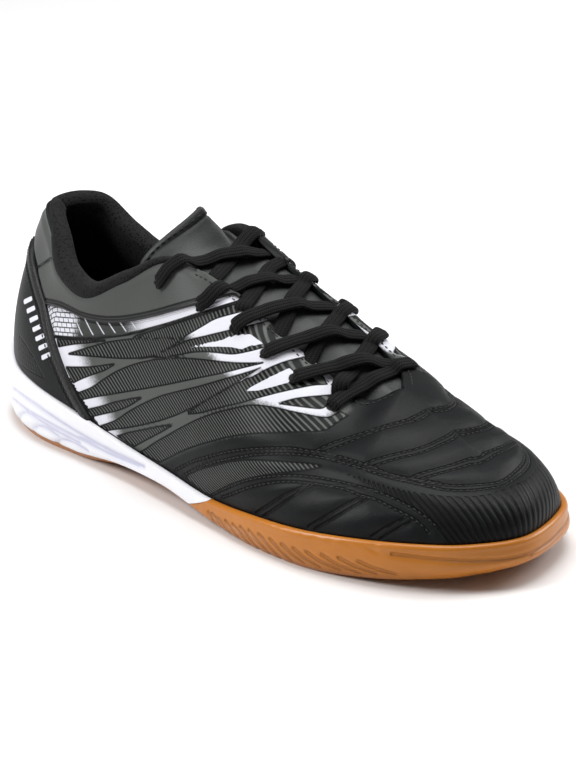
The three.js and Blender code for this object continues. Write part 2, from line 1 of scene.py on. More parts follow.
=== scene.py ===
# Indoor court shoe for the right foot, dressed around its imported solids.
# Lengths are in millimetres, with x from the heel to the toe, y towards the medial side and
# z up from the floor. They turn into metres in the part's frame when a mesh is made.
import bpy
import bmesh
import numpy as np
from mathutils import Matrix, Vector
from mathutils.bvhtree import BVHTree


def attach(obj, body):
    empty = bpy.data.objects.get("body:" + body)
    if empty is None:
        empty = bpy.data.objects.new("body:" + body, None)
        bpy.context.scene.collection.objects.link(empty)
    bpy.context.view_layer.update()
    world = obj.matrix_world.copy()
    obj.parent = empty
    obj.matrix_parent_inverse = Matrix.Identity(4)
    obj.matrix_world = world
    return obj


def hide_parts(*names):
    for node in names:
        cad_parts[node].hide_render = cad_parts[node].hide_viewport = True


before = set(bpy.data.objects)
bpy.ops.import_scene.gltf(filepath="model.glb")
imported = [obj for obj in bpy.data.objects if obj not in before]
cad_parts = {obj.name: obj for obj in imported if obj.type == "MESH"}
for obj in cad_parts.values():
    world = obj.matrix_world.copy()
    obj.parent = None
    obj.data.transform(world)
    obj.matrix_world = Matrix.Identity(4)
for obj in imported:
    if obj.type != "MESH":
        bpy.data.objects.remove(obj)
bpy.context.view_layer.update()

# Main sizes, thicknesses and fits, as in the part
SOLE_LENGTH = 295.0
BALL_WIDTH = 104.0
HEEL_TAB_HEIGHT = 87.0
COLLAR_WIDTH = 56.0
HEEL_RIM_HEIGHT = 32.0
TOE_SPRING = 7.0
UPPER_WALL = 2.0
OUTSOLE_WALL = 3.2
LINING_PAD = 4.6
LINING_EDGE = 1.2
TONGUE_WALL = 3.2
GAP = 0.3
TONGUE_GAP = 0.9
RIM_INSET = 1.4
RIM_LIP = 1.8
UPPER_INSET = RIM_INSET + RIM_LIP + GAP
OVERLAY_RISE = 1.1
STRIP_WIDTH = 4.0
STRIP_RISE = 2.0
LACE_WIDTH = 6.4
LACE_THICKNESS = 2.2
TREAD_DEPTH = 1.4
TREAD_WIDTH = 2.2
PIVOT_RADIUS = 17.0

# The photograph's frame and the camera that was fitted to it
PHOTO_WIDTH = 576
PHOTO_HEIGHT = 768
CAMERA_AZIMUTH = 48.717
CAMERA_ELEVATION = 20.41
CAMERA_ROLL = -1.477
CAMERA_DISTANCE = 1235.2
FOCAL_PIXELS = 3380.3
CAMERA_TARGET = (217.12, -47.03, 70.0)
SENSOR = 36.0

# Sections run round the foot as a ring: 0 is the heel and 13 the toe
TOE = 13
RING = 2 * TOE
THROAT_END = 10
STEPS_IN_SECTION = [4, 4, 2, 2, 3, 3, 3, 2, 2, 3, 4, 4, 3]


def table(names, rows):
    """Named columns out of a table's rows."""
    return {name: np.array([row[i] for row in rows], float) for i, name in enumerate(names)}


# Sole outline: see the part for what the columns mean
SOLE = table(("along", "lateral", "medial", "ground", "lateral_rim", "medial_rim", "bed", "tuck"), [
    (0.000, 0.000, 0.000, 0.35, 1.000, 1.000, 0.64, 3.2),
    (0.030, 0.170, 0.185, 0.15, 0.900, 0.930, 0.64, 3.0),
    (0.090, 0.305, 0.295, 0.03, 0.780, 0.820, 0.63, 3.0),
    (0.170, 0.380, 0.345, 0.00, 0.720, 0.720, 0.58, 3.0),
    (0.270, 0.395, 0.345, 0.00, 0.590, 0.630, 0.48, 4.0),
    (0.370, 0.400, 0.320, 0.42, 0.440, 0.540, 0.36, 7.0),
    (0.470, 0.425, 0.315, 0.55, 0.360, 0.460, 0.27, 5.0),
    (0.570, 0.465, 0.360, 0.20, 0.320, 0.390, 0.245, 3.0),
    (0.670, 0.495, 0.445, 0.00, 0.390, 0.360, 0.27, 2.5),
    (0.760, 0.490, 0.500, 0.00, 0.450, 0.380, 0.30, 2.5),
    (0.840, 0.440, 0.490, 0.20, 0.510, 0.430, 0.345, 3.0),
    (0.910, 0.350, 0.430, 0.50, 0.545, 0.490, 0.41, 3.0),
    (0.966, 0.215, 0.280, 0.75, 0.555, 0.540, 0.46, 3.5),
    (1.000, 0.000, 0.000, 1.00, 0.560, 0.560, 0.49, 4.0)])

# Top line: shares of the length, the collar width and the heel tab height, for both sides
TOP_LINE = table(("lateral_x", "lateral_y", "lateral_z", "medial_x", "medial_y", "medial_z"), [
    (0.066, 0.00, 1.005, 0.066, 0.00, 1.005),
    (0.085, -0.15, 0.990, 0.083, 0.20, 1.015),
    (0.129, -0.29, 0.930, 0.109, 0.37, 0.980),
    (0.186, -0.45, 0.833, 0.153, 0.43, 0.872),
    (0.261, -0.53, 0.793, 0.231, 0.46, 0.790),
    (0.332, -0.48, 0.908, 0.312, 0.44, 0.905),
    (0.410, -0.35, 1.029, 0.390, 0.38, 1.063),
    (0.522, -0.205, 0.885, 0.502, 0.32, 0.954),
    (0.627, -0.134, 0.707, 0.614, 0.31, 0.805),
    (0.715, -0.063, 0.580, 0.705, 0.30, 0.661),
    (0.749, 0.14, 0.621, 0.749, 0.14, 0.621),
    (0.797, 0.13, 0.572, 0.797, 0.13, 0.572),
    (0.847, 0.12, 0.517, 0.847, 0.12, 0.517),
    (0.875, 0.10, 0.483, 0.875, 0.10, 0.483)])

# The side's curve: rise and swell of its lower part, reach, drop and pitch of its upper part
BULGE = table(("rise", "swell", "reach", "drop", "pitch"), [
    (0.55, 2.0, 0.10, 0.12, 0.00),
    (0.50, 0.8, 0.06, 0.24, 0.00),
    (0.46, -0.6, 0.03, 0.34, 0.00),
    (0.44, -0.8, 0.02, 0.40, 0.00),
    (0.44, 0.0, 0.02, 0.42, 0.00),
    (0.44, 1.0, 0.10, 0.36, 0.00),
    (0.45, 1.0, 0.28, 0.18, -0.20),
    (0.46, 1.0, 0.42, 0.03, -0.30),
    (0.46, 0.6, 0.46, 0.00, -0.37),
    (0.45, 0.2, 0.47, 0.02, -0.36),
    (0.44, 0.0, 0.48, 0.02, -0.31),
    (0.47, 0.3, 0.50, 0.02, -0.32),
    (0.52, 1.0, 0.54, 0.02, -0.35),
    (0.58, 1.8, 0.58, 0.02, -0.42)])


# Small maths
def mix(a, b, t):
    return a + (b - a) * t


def smoothstep(low, high, value):
    t = np.clip((value - low) / (high - low), 0.0, 1.0)
    return t * t * (3 - 2 * t)


def bell(distance, width):
    return np.exp(-(distance / width) ** 2)


def unit(vectors):
    return vectors / (np.linalg.norm(vectors, axis=-1, keepdims=True) + 1e-12)


def smoothed(values, times=1):
    values = np.array(values, float)
    for _ in range(times):
        values[1:-1] = (values[:-2] + 2 * values[1:-1] + values[2:]) / 4
    return values


def run_of(points):
    """The length along a line at each of its points."""
    return np.concatenate([[0], np.cumsum(np.linalg.norm(np.diff(points, axis=0), axis=1))])


def smooth_between(before, start, end, after, t):
    bend = 2 * before - 5 * start + 4 * end - after
    twist = -before + 3 * start - 3 * end + after
    return 0.5 * (2 * start + (end - before) * t + bend * t * t + twist * t ** 3)


def ring_value(values, u):
    at = np.mod(u, RING)
    i = np.floor(at).astype(int)
    pick = [values[(i + k) % RING] for k in (-1, 0, 1, 2)]
    return smooth_between(*pick, at - i)


def ring_of(lateral, medial):
    return np.concatenate([lateral, medial[1:TOE][::-1]])


def section_of(u):
    return TOE - np.abs(TOE - np.mod(u, RING))


outline_x = ring_of(SOLE["along"], SOLE["along"]) * SOLE_LENGTH
outline_y = ring_of(-SOLE["lateral"], SOLE["medial"]) * BALL_WIDTH
ground_ring = ring_of(SOLE["ground"], SOLE["ground"]) * TOE_SPRING
rim_ring = ring_of(SOLE["lateral_rim"], SOLE["medial_rim"]) * HEEL_RIM_HEIGHT
bed_ring = ring_of(SOLE["bed"], SOLE["bed"]) * HEEL_RIM_HEIGHT
tuck_ring = ring_of(SOLE["tuck"], SOLE["tuck"])
top_x = ring_of(TOP_LINE["lateral_x"], TOP_LINE["medial_x"]) * SOLE_LENGTH
top_y = ring_of(TOP_LINE["lateral_y"], TOP_LINE["medial_y"]) * COLLAR_WIDTH
top_z = ring_of(TOP_LINE["lateral_z"], TOP_LINE["medial_z"]) * HEEL_TAB_HEIGHT
bulge = {name: ring_of(column, column) for name, column in BULGE.items()}


def ground_height(u):
    return np.maximum(0.0, ring_value(ground_ring, u))


def rim_height(u):
    return ring_value(rim_ring, u)


def bed_height(u):
    return ring_value(bed_ring, u)


def outline_normal(u):
    step = 0.001
    dx = ring_value(outline_x, u + step) - ring_value(outline_x, u - step)
    dy = ring_value(outline_y, u + step) - ring_value(outline_y, u - step)
    length = np.hypot(dx, dy)
    return dy / length, -dx / length


def outline_point(u, inset, height):
    nx, ny = outline_normal(u)
    x = ring_value(outline_x, u) - nx * inset
    y = ring_value(outline_y, u) - ny * inset
    return np.stack(np.broadcast_arrays(x, y, height), -1)


def wall_inset(u, level):
    tucked = ring_value(tuck_ring, u) * np.maximum(0, 1 - level / 0.42) ** 2
    leaning = RIM_INSET * np.maximum(0, (level - 0.35) / 0.65) ** 1.6
    return tucked + leaning


def wall_point(u, level, out=0.0):
    return outline_point(u, wall_inset(u, level) - out, mix(ground_height(u), rim_height(u), level))


def top_value(values, u):
    """Past the throat both sides share the ridge, so it is read from one side's rows alone."""
    section = section_of(u)
    i = np.minimum(np.floor(section), TOE - 1).astype(int)
    rows = [values[np.clip(i + k, THROAT_END, TOE)] for k in (-1, 0, 1, 2)]
    ridge = smooth_between(*rows, section - i)
    return np.where(section < THROAT_END, ring_value(values, u), ridge)


def form_point(u, level):
    """Level -1 is the foot bed inside the sole, 0 is the sole's rim and 1 is the top line."""
    u, level = np.broadcast_arrays(np.asarray(u, float), np.asarray(level, float))
    rim = rim_height(u)
    base = outline_point(u, UPPER_INSET, rim)
    top = np.stack([top_value(ring, u) for ring in (top_x, top_y, top_z)], -1)
    height = top[..., 2] - rim
    nx, ny = outline_normal(u)
    swell = ring_value(bulge["swell"], u)
    low = base.copy()
    low[..., 0] += nx * swell
    low[..., 1] += ny * swell
    low[..., 2] += height * ring_value(bulge["rise"], u)
    reach = ring_value(bulge["reach"], u)
    run = base - top
    high = top.copy()
    high[..., 0] += run[..., 0] * reach
    high[..., 1] += run[..., 1] * reach
    high[..., 2] += ring_value(bulge["pitch"], u) * run[..., 0] * reach
    high[..., 2] -= height * ring_value(bulge["drop"], u)
    t = np.clip(level, 0, 1)[..., None]
    rest = 1 - t
    point = base * rest ** 3 + low * (3 * rest * rest * t) + high * (3 * rest * t * t) + top * t ** 3
    sunk = np.clip(-level, 0, 1)
    point[..., 2] = np.where(level < 0, mix(rim, bed_height(u) + GAP, sunk), point[..., 2])
    return point


def slope_normal(u, level):
    step = 0.01
    at = np.clip(level, step, 1 - 2 * step)
    along = form_point(u + step, at) - form_point(u - step, at)
    up = form_point(u, at + step) - form_point(u, at - step)
    return unit(np.cross(along, up))


def form_normal(u, level):
    u, level = np.broadcast_arrays(np.asarray(u, float), np.asarray(level, float))
    nx, ny = outline_normal(u)
    flat = np.stack([nx, ny, np.zeros_like(nx)], -1)
    normal = slope_normal(u, level)
    ridge = (level >= 1) & (section_of(u) >= THROAT_END)
    both = unit(normal + slope_normal(RING - u, level))
    normal = np.where(ridge[..., None], both, normal)
    return np.where((level < 0)[..., None], flat, normal)


def skin(u, level, out=0.0):
    """A point at a distance out of the upper's outer face."""
    return form_point(u, level) + form_normal(u, level) * np.asarray(out, float)[..., None]


# The part's origin is under the middle of the sole's outline
lateral_places = [k + i / n for k, n in enumerate(STEPS_IN_SECTION) for i in range(n)] + [TOE]
ring_places = np.array(lateral_places + [RING - u for u in lateral_places[1:-1]])
outline = outline_point(ring_places, 0.0, 0.0)
MIDDLE = np.array([*((outline.min(0) + outline.max(0)) / 2)[:2], 0.0])


def metres(points):
    return (np.asarray(points, float) - MIDDLE) * 0.001


# Camera
azimuth, elevation, roll = np.radians([CAMERA_AZIMUTH, CAMERA_ELEVATION, CAMERA_ROLL])
level_out = np.cos(elevation)
back = np.array([np.sin(azimuth) * level_out, -np.cos(azimuth) * level_out, np.sin(elevation)])
right = np.array([np.cos(azimuth), np.sin(azimuth), 0.0])
view_up = np.cross(back, right)
turn = np.array([[np.cos(roll), np.sin(roll), 0], [-np.sin(roll), np.cos(roll), 0], [0, 0, 1]])
VIEW = turn @ np.stack([right, view_up, back])
EYE = np.array(CAMERA_TARGET) + back * CAMERA_DISTANCE

camera_data = bpy.data.cameras.new("camera")
camera_data.sensor_width = SENSOR
camera_data.lens = FOCAL_PIXELS * SENSOR / PHOTO_HEIGHT
camera_data.clip_start = 0.05
camera = bpy.data.objects.new("camera", camera_data)
bpy.context.scene.collection.objects.link(camera)
camera.matrix_world = Matrix.LocRotScale(Vector(metres(EYE)), Matrix(VIEW.T.tolist()).to_quaternion(), None)
bpy.context.scene.camera = camera


def project(points):
    """Pixels of the photograph for points of the form."""
    seen = (points - EYE) @ VIEW.T
    x = PHOTO_WIDTH / 2 - FOCAL_PIXELS * seen[..., 0] / seen[..., 2]
    y = PHOTO_HEIGHT / 2 + FOCAL_PIXELS * seen[..., 1] / seen[..., 2]
    return np.stack([x, y], -1)


def sight_line(pixel):
    x, y = pixel
    direction = np.array([(x - PHOTO_WIDTH / 2) / FOCAL_PIXELS, -(y - PHOTO_HEIGHT / 2) / FOCAL_PIXELS, -1.0])
    return VIEW.T @ direction


# Lines that were read off the photograph, some of them in enlarged views of it.
# A view is its left and top pixel and its scale.
FULL = (0, 0, 1)
QUARTER = (20, 240, 5.6)
VAMP = (160, 380, 6.03)
TOE_VIEW = (360, 390, 7.467)
LACING = (190, 200, 6.533)


def seen_in(view, points):
    left, top, scale = view
    return [(left + x / scale, top + y / scale) for x, y in points]


def dense(points, step=2.5):
    """A smooth line through points, in steps of about that length."""
    points = np.array(points, float)
    if len(points) < 2:
        return points
    ends = np.vstack([2 * points[0] - points[1], points, 2 * points[-1] - points[-2]])
    out = []
    for i in range(len(points) - 1):
        count = max(1, int(np.ceil(np.linalg.norm(points[i + 1] - points[i]) / step)))
        t = (np.arange(count) / count)[:, None]
        out.append(smooth_between(ends[i], ends[i + 1], ends[i + 2], ends[i + 3], t))
    return np.vstack(out + [points[-1:]])


TRACE_STEPS = 6
chart_u, chart_t = np.meshgrid(np.arange(0, TOE + 0.001, 0.05), np.arange(0, 1.001, 0.02), indexing="ij")


def tracer(place):
    """A function that finds the places (section, level) on a surface under pixels of the photograph."""
    step = 0.01
    chart = place(chart_u, chart_t)
    low = np.clip(chart_t, step, 1 - step)
    along = place(chart_u + step, low) - place(chart_u - step, low)
    normal = np.cross(along, place(chart_u, low + step) - place(chart_u, low - step))
    facing = (normal * (EYE - chart)).sum(-1) > 0
    chart_pixels = project(chart)

    def trace(points):
        places = []
        for x, y in points:
            far = np.hypot(chart_pixels[..., 0] - x, chart_pixels[..., 1] - y)
            i = np.where(facing, far, 1e4).argmin()
            places.append((chart_u.flat[i], chart_t.flat[i]))
        places = np.array(places)
        target = np.array(points, float)
        for _ in range(TRACE_STEPS):
            u, t = places[:, 0], np.clip(places[:, 1], 0.0, 1 - step)
            here = project(place(u, t))
            by_u = (project(place(u + step, t)) - here) / step
            by_t = (project(place(u, t + step)) - here) / step
            miss = target - here
            area = by_u[:, 0] * by_t[:, 1] - by_u[:, 1] * by_t[:, 0]
            area = np.where(np.abs(area) < 5.0, 1e9, area)
            du = (miss[:, 0] * by_t[:, 1] - miss[:, 1] * by_t[:, 0]) / area
            dt = (by_u[:, 0] * miss[:, 1] - by_u[:, 1] * miss[:, 0]) / area
            places[:, 0] = np.clip(u + np.clip(du, -0.1, 0.1), 0, TOE)
            places[:, 1] = np.clip(t + np.clip(dt, -0.05, 0.05), 0, 1)
        return places

    return trace


trace = tracer(form_point)
trace_wall = tracer(wall_point)


def traced(view, points):
    return trace(dense(seen_in(view, points)))


# Meshes
WELD_DISTANCE = 2e-5


def make_piece(name, points, faces, material, replaces=()):
    mesh = bpy.data.meshes.new(name)
    mesh.from_pydata(metres(points).tolist(), [], [list(map(int, face)) for face in faces])
    mesh.polygons.foreach_set("use_smooth", [True] * len(mesh.polygons))
    mesh.materials.append(material)
    piece = bpy.data.objects.new(name, mesh)
    bpy.context.scene.collection.objects.link(piece)
    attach(piece, "root")
    if replaces:
        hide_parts(*replaces)
    return piece


def give(piece, **values):
    """Float attributes on the points of a piece."""
    for name, column in values.items():
        layer = piece.data.attributes.new(name, "FLOAT", "POINT")
        layer.data.foreach_set("value", np.asarray(column, np.float32).ravel())


def weld(piece):
    work = bmesh.new()
    work.from_mesh(piece.data)
    bmesh.ops.remove_doubles(work, verts=work.verts, dist=WELD_DISTANCE)
    bmesh.ops.recalc_face_normals(work, faces=work.faces)
    work.to_mesh(piece.data)
    work.free()


def grid_faces(columns, rows, wrap_columns=False, wrap_rows=False, start=0):
    """Quads over a grid whose points are listed row after row."""
    faces = []
    for j in range(rows if wrap_rows else rows - 1):
        for i in range(columns if wrap_columns else columns - 1):
            i2, j2 = (i + 1) % columns, (j + 1) % rows
            corners = (j * columns + i, j * columns + i2, j2 * columns + i2, j2 * columns + i)
            faces.append(tuple(start + c for c in corners))
    return faces


def tube_faces(sides, rings):
    """A closed tube whose points are listed ring after ring."""
    last = sides * rings - 1
    ends = [tuple(range(sides)), tuple(range(last, last - sides, -1))]
    return grid_faces(sides, rings, wrap_columns=True) + ends


# Materials
class Wire:
    """An output of a node. Arithmetic with it makes math nodes."""

    def __init__(self, shade, socket):
        self.shade = shade
        self.socket = socket

    def __add__(self, other):
        return self.shade.math("ADD", self, other)

    def __radd__(self, other):
        return self.shade.math("ADD", other, self)

    def __sub__(self, other):
        return self.shade.math("SUBTRACT", self, other)

    def __rsub__(self, other):
        return self.shade.math("SUBTRACT", other, self)

    def __mul__(self, other):
        return self.shade.math("MULTIPLY", self, other)

    def __pow__(self, power):
        return self.shade.math("POWER", self, power)

    def __abs__(self):
        return self.shade.math("ABSOLUTE", self)

    def fraction(self):
        return self.shade.math("FRACT", self)

    def wave(self, pitch=1.0):
        return self.shade.math("COSINE", self * (2 * np.pi / pitch))

    def step(self, low, high, to_low=0.0, to_high=1.0):
        inputs = dict(enumerate((self, low, high, to_low, to_high)))
        return self.shade.node("MapRange", inputs, interpolation_type="SMOOTHSTEP")

    def fade(self, low, high):
        """1 up to the low value and 0 from the high value on."""
        return self.step(low, high, 1.0, 0.0)


def most(first, *others):
    """The largest of several outputs."""
    for other in others:
        first = first.shade.math("MAXIMUM", first, other)
    return first


class Shade:
    """A node material around one Principled shader."""

    def __init__(self, name, roughness, **settings):
        self.material = bpy.data.materials.new(name)
        self.material.use_nodes = True
        self.tree = self.material.node_tree
        self.tree.nodes.clear()
        self.shader = self.tree.nodes.new("ShaderNodeBsdfPrincipled")
        output = self.tree.nodes.new("ShaderNodeOutputMaterial")
        self.tree.links.new(self.shader.outputs[0], output.inputs[0])
        self.shader.inputs["Roughness"].default_value = roughness
        for socket, value in settings.items():
            self.shader.inputs[socket.replace("_", " ")].default_value = value

    def put(self, node, index, value):
        if isinstance(value, Wire):
            self.tree.links.new(value.socket, node.inputs[index])
        else:
            node.inputs[index].default_value = (*value, 1.0) if isinstance(value, tuple) else value

    def node(self, kind, inputs, output=0, **settings):
        """One output of a new node, with its inputs by name or by number."""
        node = self.tree.nodes.new("ShaderNode" + kind)
        for name, value in settings.items():
            setattr(node, name, value)
        for index, value in inputs.items():
            self.put(node, index, value)
        return Wire(self, node.outputs[output])

    def math(self, operation, *values):
        return self.node("Math", dict(enumerate(values)), operation=operation)

    def attribute(self, name):
        return self.node("Attribute", {}, "Fac", attribute_name=name)

    def place(self):
        return self.node("TexCoord", {}, "Object")

    def noise(self, size, detail):
        """Noise with features of about size millimetres."""
        inputs = {"Vector": self.place(), "Scale": 1000.0 / size, "Detail": detail}
        return self.node("TexNoise", inputs, "Fac")

    def cells(self, size):
        return self.node("TexVoronoi", {"Vector": self.place(), "Scale": 1000.0 / size}, "Distance")

    def axes(self):
        first = self.node("SeparateXYZ", {0: self.place()})
        return [Wire(self, socket) for socket in first.socket.node.outputs]

    def colour(self, factor, low, high):
        """Two colours, each a tuple or an output, mixed by a factor."""
        return self.node("Mix", {0: factor, 6: low, 7: high}, 2, data_type="RGBA")

    def layers(self, base, *layers):
        """Colours laid over a base, each with its share."""
        for share, colour in layers:
            base = self.colour(share, base, colour)
        return base

    def finish(self, colour, roughness=None, height=None):
        """Connect the shader's inputs. The height is in millimetres."""
        self.put(self.shader, "Base Color", colour)
        if roughness is not None:
            self.put(self.shader, "Roughness", roughness)
        if height is not None:
            bump = self.node("Bump", {"Strength": 1.0, "Distance": 0.001, "Height": height})
            self.put(self.shader, "Normal", bump)


# Fields of fine ribs on the quarter and the vamp. Each lies between an upper and a lower edge.
RIB_FIELDS = [
    (QUARTER, [(207, 556), (300, 560), (400, 562), (480, 560)],
     [(215, 598), (300, 583), (400, 572), (480, 561)]),
    (QUARTER, [(640, 540), (740, 512), (830, 484), (920, 456), (1010, 427), (1100, 398), (1200, 364),
               (1290, 330)],
     [(640, 545), (760, 549), (900, 545), (960, 518), (1030, 478), (1100, 440), (1240, 402), (1330, 380)]),
    (QUARTER, [(275, 637), (330, 620), (400, 600), (500, 573), (620, 557), (720, 554), (830, 558),
               (922, 548)],
     [(275, 639), (340, 645), (430, 651), (520, 658), (620, 661), (700, 655), (760, 640), (850, 592),
      (922, 550)]),
    (QUARTER, [(722, 656), (790, 632), (850, 607), (950, 563), (1050, 538), (1180, 507), (1290, 480),
               (1400, 450)],
     [(722, 658), (800, 655), (880, 643), (960, 628), (1040, 624), (1120, 632), (1200, 638), (1290, 622),
      (1372, 602), (1460, 590), (1560, 585)]),
    (QUARTER, [(257, 712), (320, 713), (400, 712), (460, 705), (532, 694)],
     [(298, 800), (350, 775), (420, 748), (480, 726), (532, 696)]),
    (QUARTER, [(325, 858), (400, 828), (470, 783), (540, 740), (620, 706), (700, 683), (800, 668),
               (900, 664), (1000, 670), (1100, 681), (1200, 690), (1300, 692), (1362, 688)],
     [(347, 893), (450, 872), (550, 855), (700, 830), (850, 802), (1000, 771), (1150, 741), (1250, 716),
      (1362, 690)]),
    (QUARTER, [(378, 950), (450, 933), (540, 908), (610, 893), (682, 881)],
     [(397, 990), (470, 972), (540, 955), (610, 928), (682, 884)]),
    (QUARTER, [(440, 1047), (540, 1010), (600, 970), (660, 935), (720, 905), (800, 873), (900, 847),
               (1000, 823), (1100, 795), (1190, 768), (1280, 742), (1352, 718)],
     [(470, 1068), (560, 1055), (650, 1040), (740, 1020), (820, 998), (900, 968), (1000, 918),
      (1080, 873), (1150, 832), (1200, 805), (1250, 775), (1310, 740), (1352, 720)]),
    (QUARTER, [(942, 972), (1000, 930), (1060, 893), (1130, 855), (1190, 820), (1250, 790), (1310, 765),
               (1380, 728), (1470, 690), (1568, 664), (1680, 640)],
     [(942, 974), (1010, 966), (1080, 948), (1160, 928), (1240, 910), (1300, 893), (1380, 872),
      (1434, 858), (1550, 832), (1640, 815), (1720, 810)]),
    (QUARTER, [(545, 1098), (620, 1078), (700, 1062), (780, 1045), (860, 1032)],
     [(640, 1155), (700, 1122), (780, 1080), (860, 1035)]),
    (FULL, [(139, 453), (145, 450), (155.7, 442.7), (168.2, 435.5), (180.7, 428.4), (198.6, 419.5),
            (216.4, 413.2), (234.3, 408.8), (252.9, 405.7), (276, 408.2), (292.7, 412.3), (325.8, 418.5),
            (340, 412.5)],
     [(160, 462), (184.9, 449.7), (209.8, 441.4), (234.6, 435.6), (259.5, 433.2), (292.7, 432.4),
      (322.5, 431.4), (335.8, 424), (347.4, 416.5)]),
    (FULL, [(279.4, 403.6), (297, 399), (320, 396.6), (337, 395.2)],
     [(279.4, 404), (300.9, 407), (315, 408.8), (323, 408.6), (330, 402.5), (338, 396)]),
    (VAMP, [(150, 582), (250, 540), (400, 500), (480, 488), (550, 485), (700, 492), (800, 500),
            (900, 507), (975, 518)],
     [(300, 695), (400, 640), (500, 602), (600, 577), (700, 562), (800, 550), (900, 540), (975, 524)])]

# White printed kites inside two of the fields
KITES = [
    (QUARTER, [(950, 603), (1100, 568), (1290, 527), (1362, 580), (1240, 613), (1180, 600), (1050, 598)]),
    (LACING, [(350, 1252), (450, 1195), (560, 1140), (650, 1098), (700, 1143), (640, 1195), (540, 1222),
              (450, 1245)])]

# The smooth veins are printed white inside this outline, next to the lace holes
WHITE_VEINS = [(140, 318), (187.9, 334.6), (205, 347), (225.4, 372), (240, 384), (258, 402), (290, 414),
               (325.5, 419), (332, 413), (331, 404), (344, 391), (338, 383), (330, 375), (290, 340),
               (262, 318), (240, 300), (215, 283), (180, 290)]
QUARTER_OUTLINE = [(45, 300), (200, 300), (262, 300), (300, 345), (350, 395), (352, 412), (322, 433),
                   (259, 434.5), (210, 443), (185, 451.5), (160, 464), (120, 450), (100, 430)]
STRIP_WHITE = 10.0
STRIP_FADE = 9.0

# Stitched channels on the vamp, in pairs, and the double bars below them. Where a channel
# runs over the ridge or round the toe, its last places are given as section and level.
ARC_A1 = (VAMP, [(90, 545), (200, 490), (300, 460), (400, 435), (500, 420), (600, 412), (700, 409),
                 (800, 410), (900, 425), (1000, 440), (1100, 465), (1200, 495), (1300, 530), (1400, 570),
                 (1568, 600), (1690, 618)])
ARC_A2 = (VAMP, [(150, 570), (250, 520), (350, 490), (500, 460), (600, 448), (700, 445), (800, 445),
                 (900, 455), (1000, 470), (1100, 495), (1200, 525), (1300, 560), (1400, 590),
                 (1500, 612), (1600, 635), (1690, 655)])
ARC_B1 = (VAMP, [(310, 695), (400, 650), (500, 610), (600, 588), (700, 578), (800, 575), (900, 582),
                 (1000, 595), (1100, 615), (1200, 640), (1300, 670), (1400, 710), (1500, 760),
                 (1560, 795), (1625, 845), (1690, 905)])
ARC_B2 = (VAMP, [(370, 710), (450, 680), (520, 652), (600, 632), (700, 615), (800, 612), (900, 620),
                 (1000, 635), (1100, 655), (1200, 690), (1300, 720), (1400, 770), (1500, 820),
                 (1560, 860), (1620, 920)])
CHANNELS = [
    (ARC_A1, []), (ARC_A2, []), (ARC_B1, []), (ARC_B2, []),
    ((VAMP, [(930, 430), (1000, 390), (1100, 350), (1200, 320), (1300, 295), (1400, 265), (1500, 235),
             (1568, 215)]),
     [(10.40, 0.815), (10.62, 0.872), (10.84, 0.95), (10.93, 1.0)]),
    ((VAMP, [(990, 430), (1100, 385), (1200, 345), (1300, 310), (1400, 280), (1500, 255), (1568, 240)]),
     [(10.66, 0.845), (10.86, 0.905), (11.02, 0.965), (11.06, 1.0)]),
    ((VAMP, [(1220, 510), (1300, 475), (1400, 450), (1500, 425), (1568, 410), (1640, 388)]),
     [(11.44, 0.855), (11.68, 0.925), (11.84, 0.97), (11.88, 1.0)]),
    ((VAMP, [(1290, 515), (1400, 480), (1500, 455), (1568, 440), (1640, 420)]),
     [(11.46, 0.815), (11.80, 0.91), (12.0, 0.962), (12.06, 1.0)]),
    ((TOE_VIEW, [(400, 640), (500, 605), (600, 580), (700, 550), (800, 515), (850, 492)]),
     [(12.2, 0.80), (12.55, 0.865), (13.0, 0.905)]),
    ((TOE_VIEW, [(440, 665), (550, 630), (700, 590), (800, 560), (850, 539)]),
     [(12.2, 0.75), (12.6, 0.82), (13.0, 0.86)]),
    ((TOE_VIEW, [(380, 660), (450, 682), (520, 694), (600, 700), (700, 712), (800, 711), (900, 700)]),
     [(12.45, 0.595), (12.72, 0.625), (13.0, 0.64)]),
    ((TOE_VIEW, [(440, 692), (520, 722), (600, 740), (700, 748), (800, 750), (900, 744)]),
     [(12.42, 0.55), (12.72, 0.58), (13.0, 0.595)]),
    ((VAMP, [(575, 805), (650, 755), (750, 690), (860, 640)]), []),
    ((VAMP, [(620, 825), (700, 770), (800, 700), (920, 630)]), []),
    ((VAMP, [(890, 885), (1000, 820), (1100, 760), (1210, 702)]), []),
    ((VAMP, [(930, 900), (1050, 830), (1150, 770), (1260, 708)]), []),
    ((VAMP, [(1275, 945), (1380, 880), (1470, 835)]), []),
    ((VAMP, [(1330, 960), (1420, 905), (1512, 852)]), [])]
STITCHED_CHANNELS = 12
CHANNEL_WIDTH = 0.85
CHANNEL_REACH = 8.0

# Ribs round the toe, between the cap's border and the outer arc
TOE_RIBS_TOP = [(344, 473.6), (356, 476), (372, 481.5), (390, 487), (410, 491.8), (430, 495),
                (450, 496.6), (467, 496.8), (480, 495.8), (493, 493.6)]
TOE_RIBS_TOP_END = [(12.72, 0.535), (13.0, 0.55)]
TOE_RIBS_FOOT = [(344, 474.4), (360, 481.5), (377.4, 490), (393.5, 498.8), (406.9, 505.6), (420.3, 514),
                 (431, 524), (440, 534), (447, 545)]

# Smooth collar leather above a piped seam, with a printed band below it
COLLAR_SEAM = (QUARTER, [(142, 352), (240, 370), (340, 417), (390, 434), (440, 445), (500, 452),
                         (560, 452), (630, 445), (700, 433), (780, 415), (850, 395), (930, 373),
                         (1010, 352), (1090, 330), (1190, 303), (1260, 283)])
BAND_FOOT = (QUARTER, [(195, 541), (280, 548), (350, 550), (430, 547), (500, 540), (570, 532),
                       (640, 520), (740, 495), (830, 470), (920, 442), (1010, 412), (1100, 384),
                       (1180, 360), (1260, 335)])

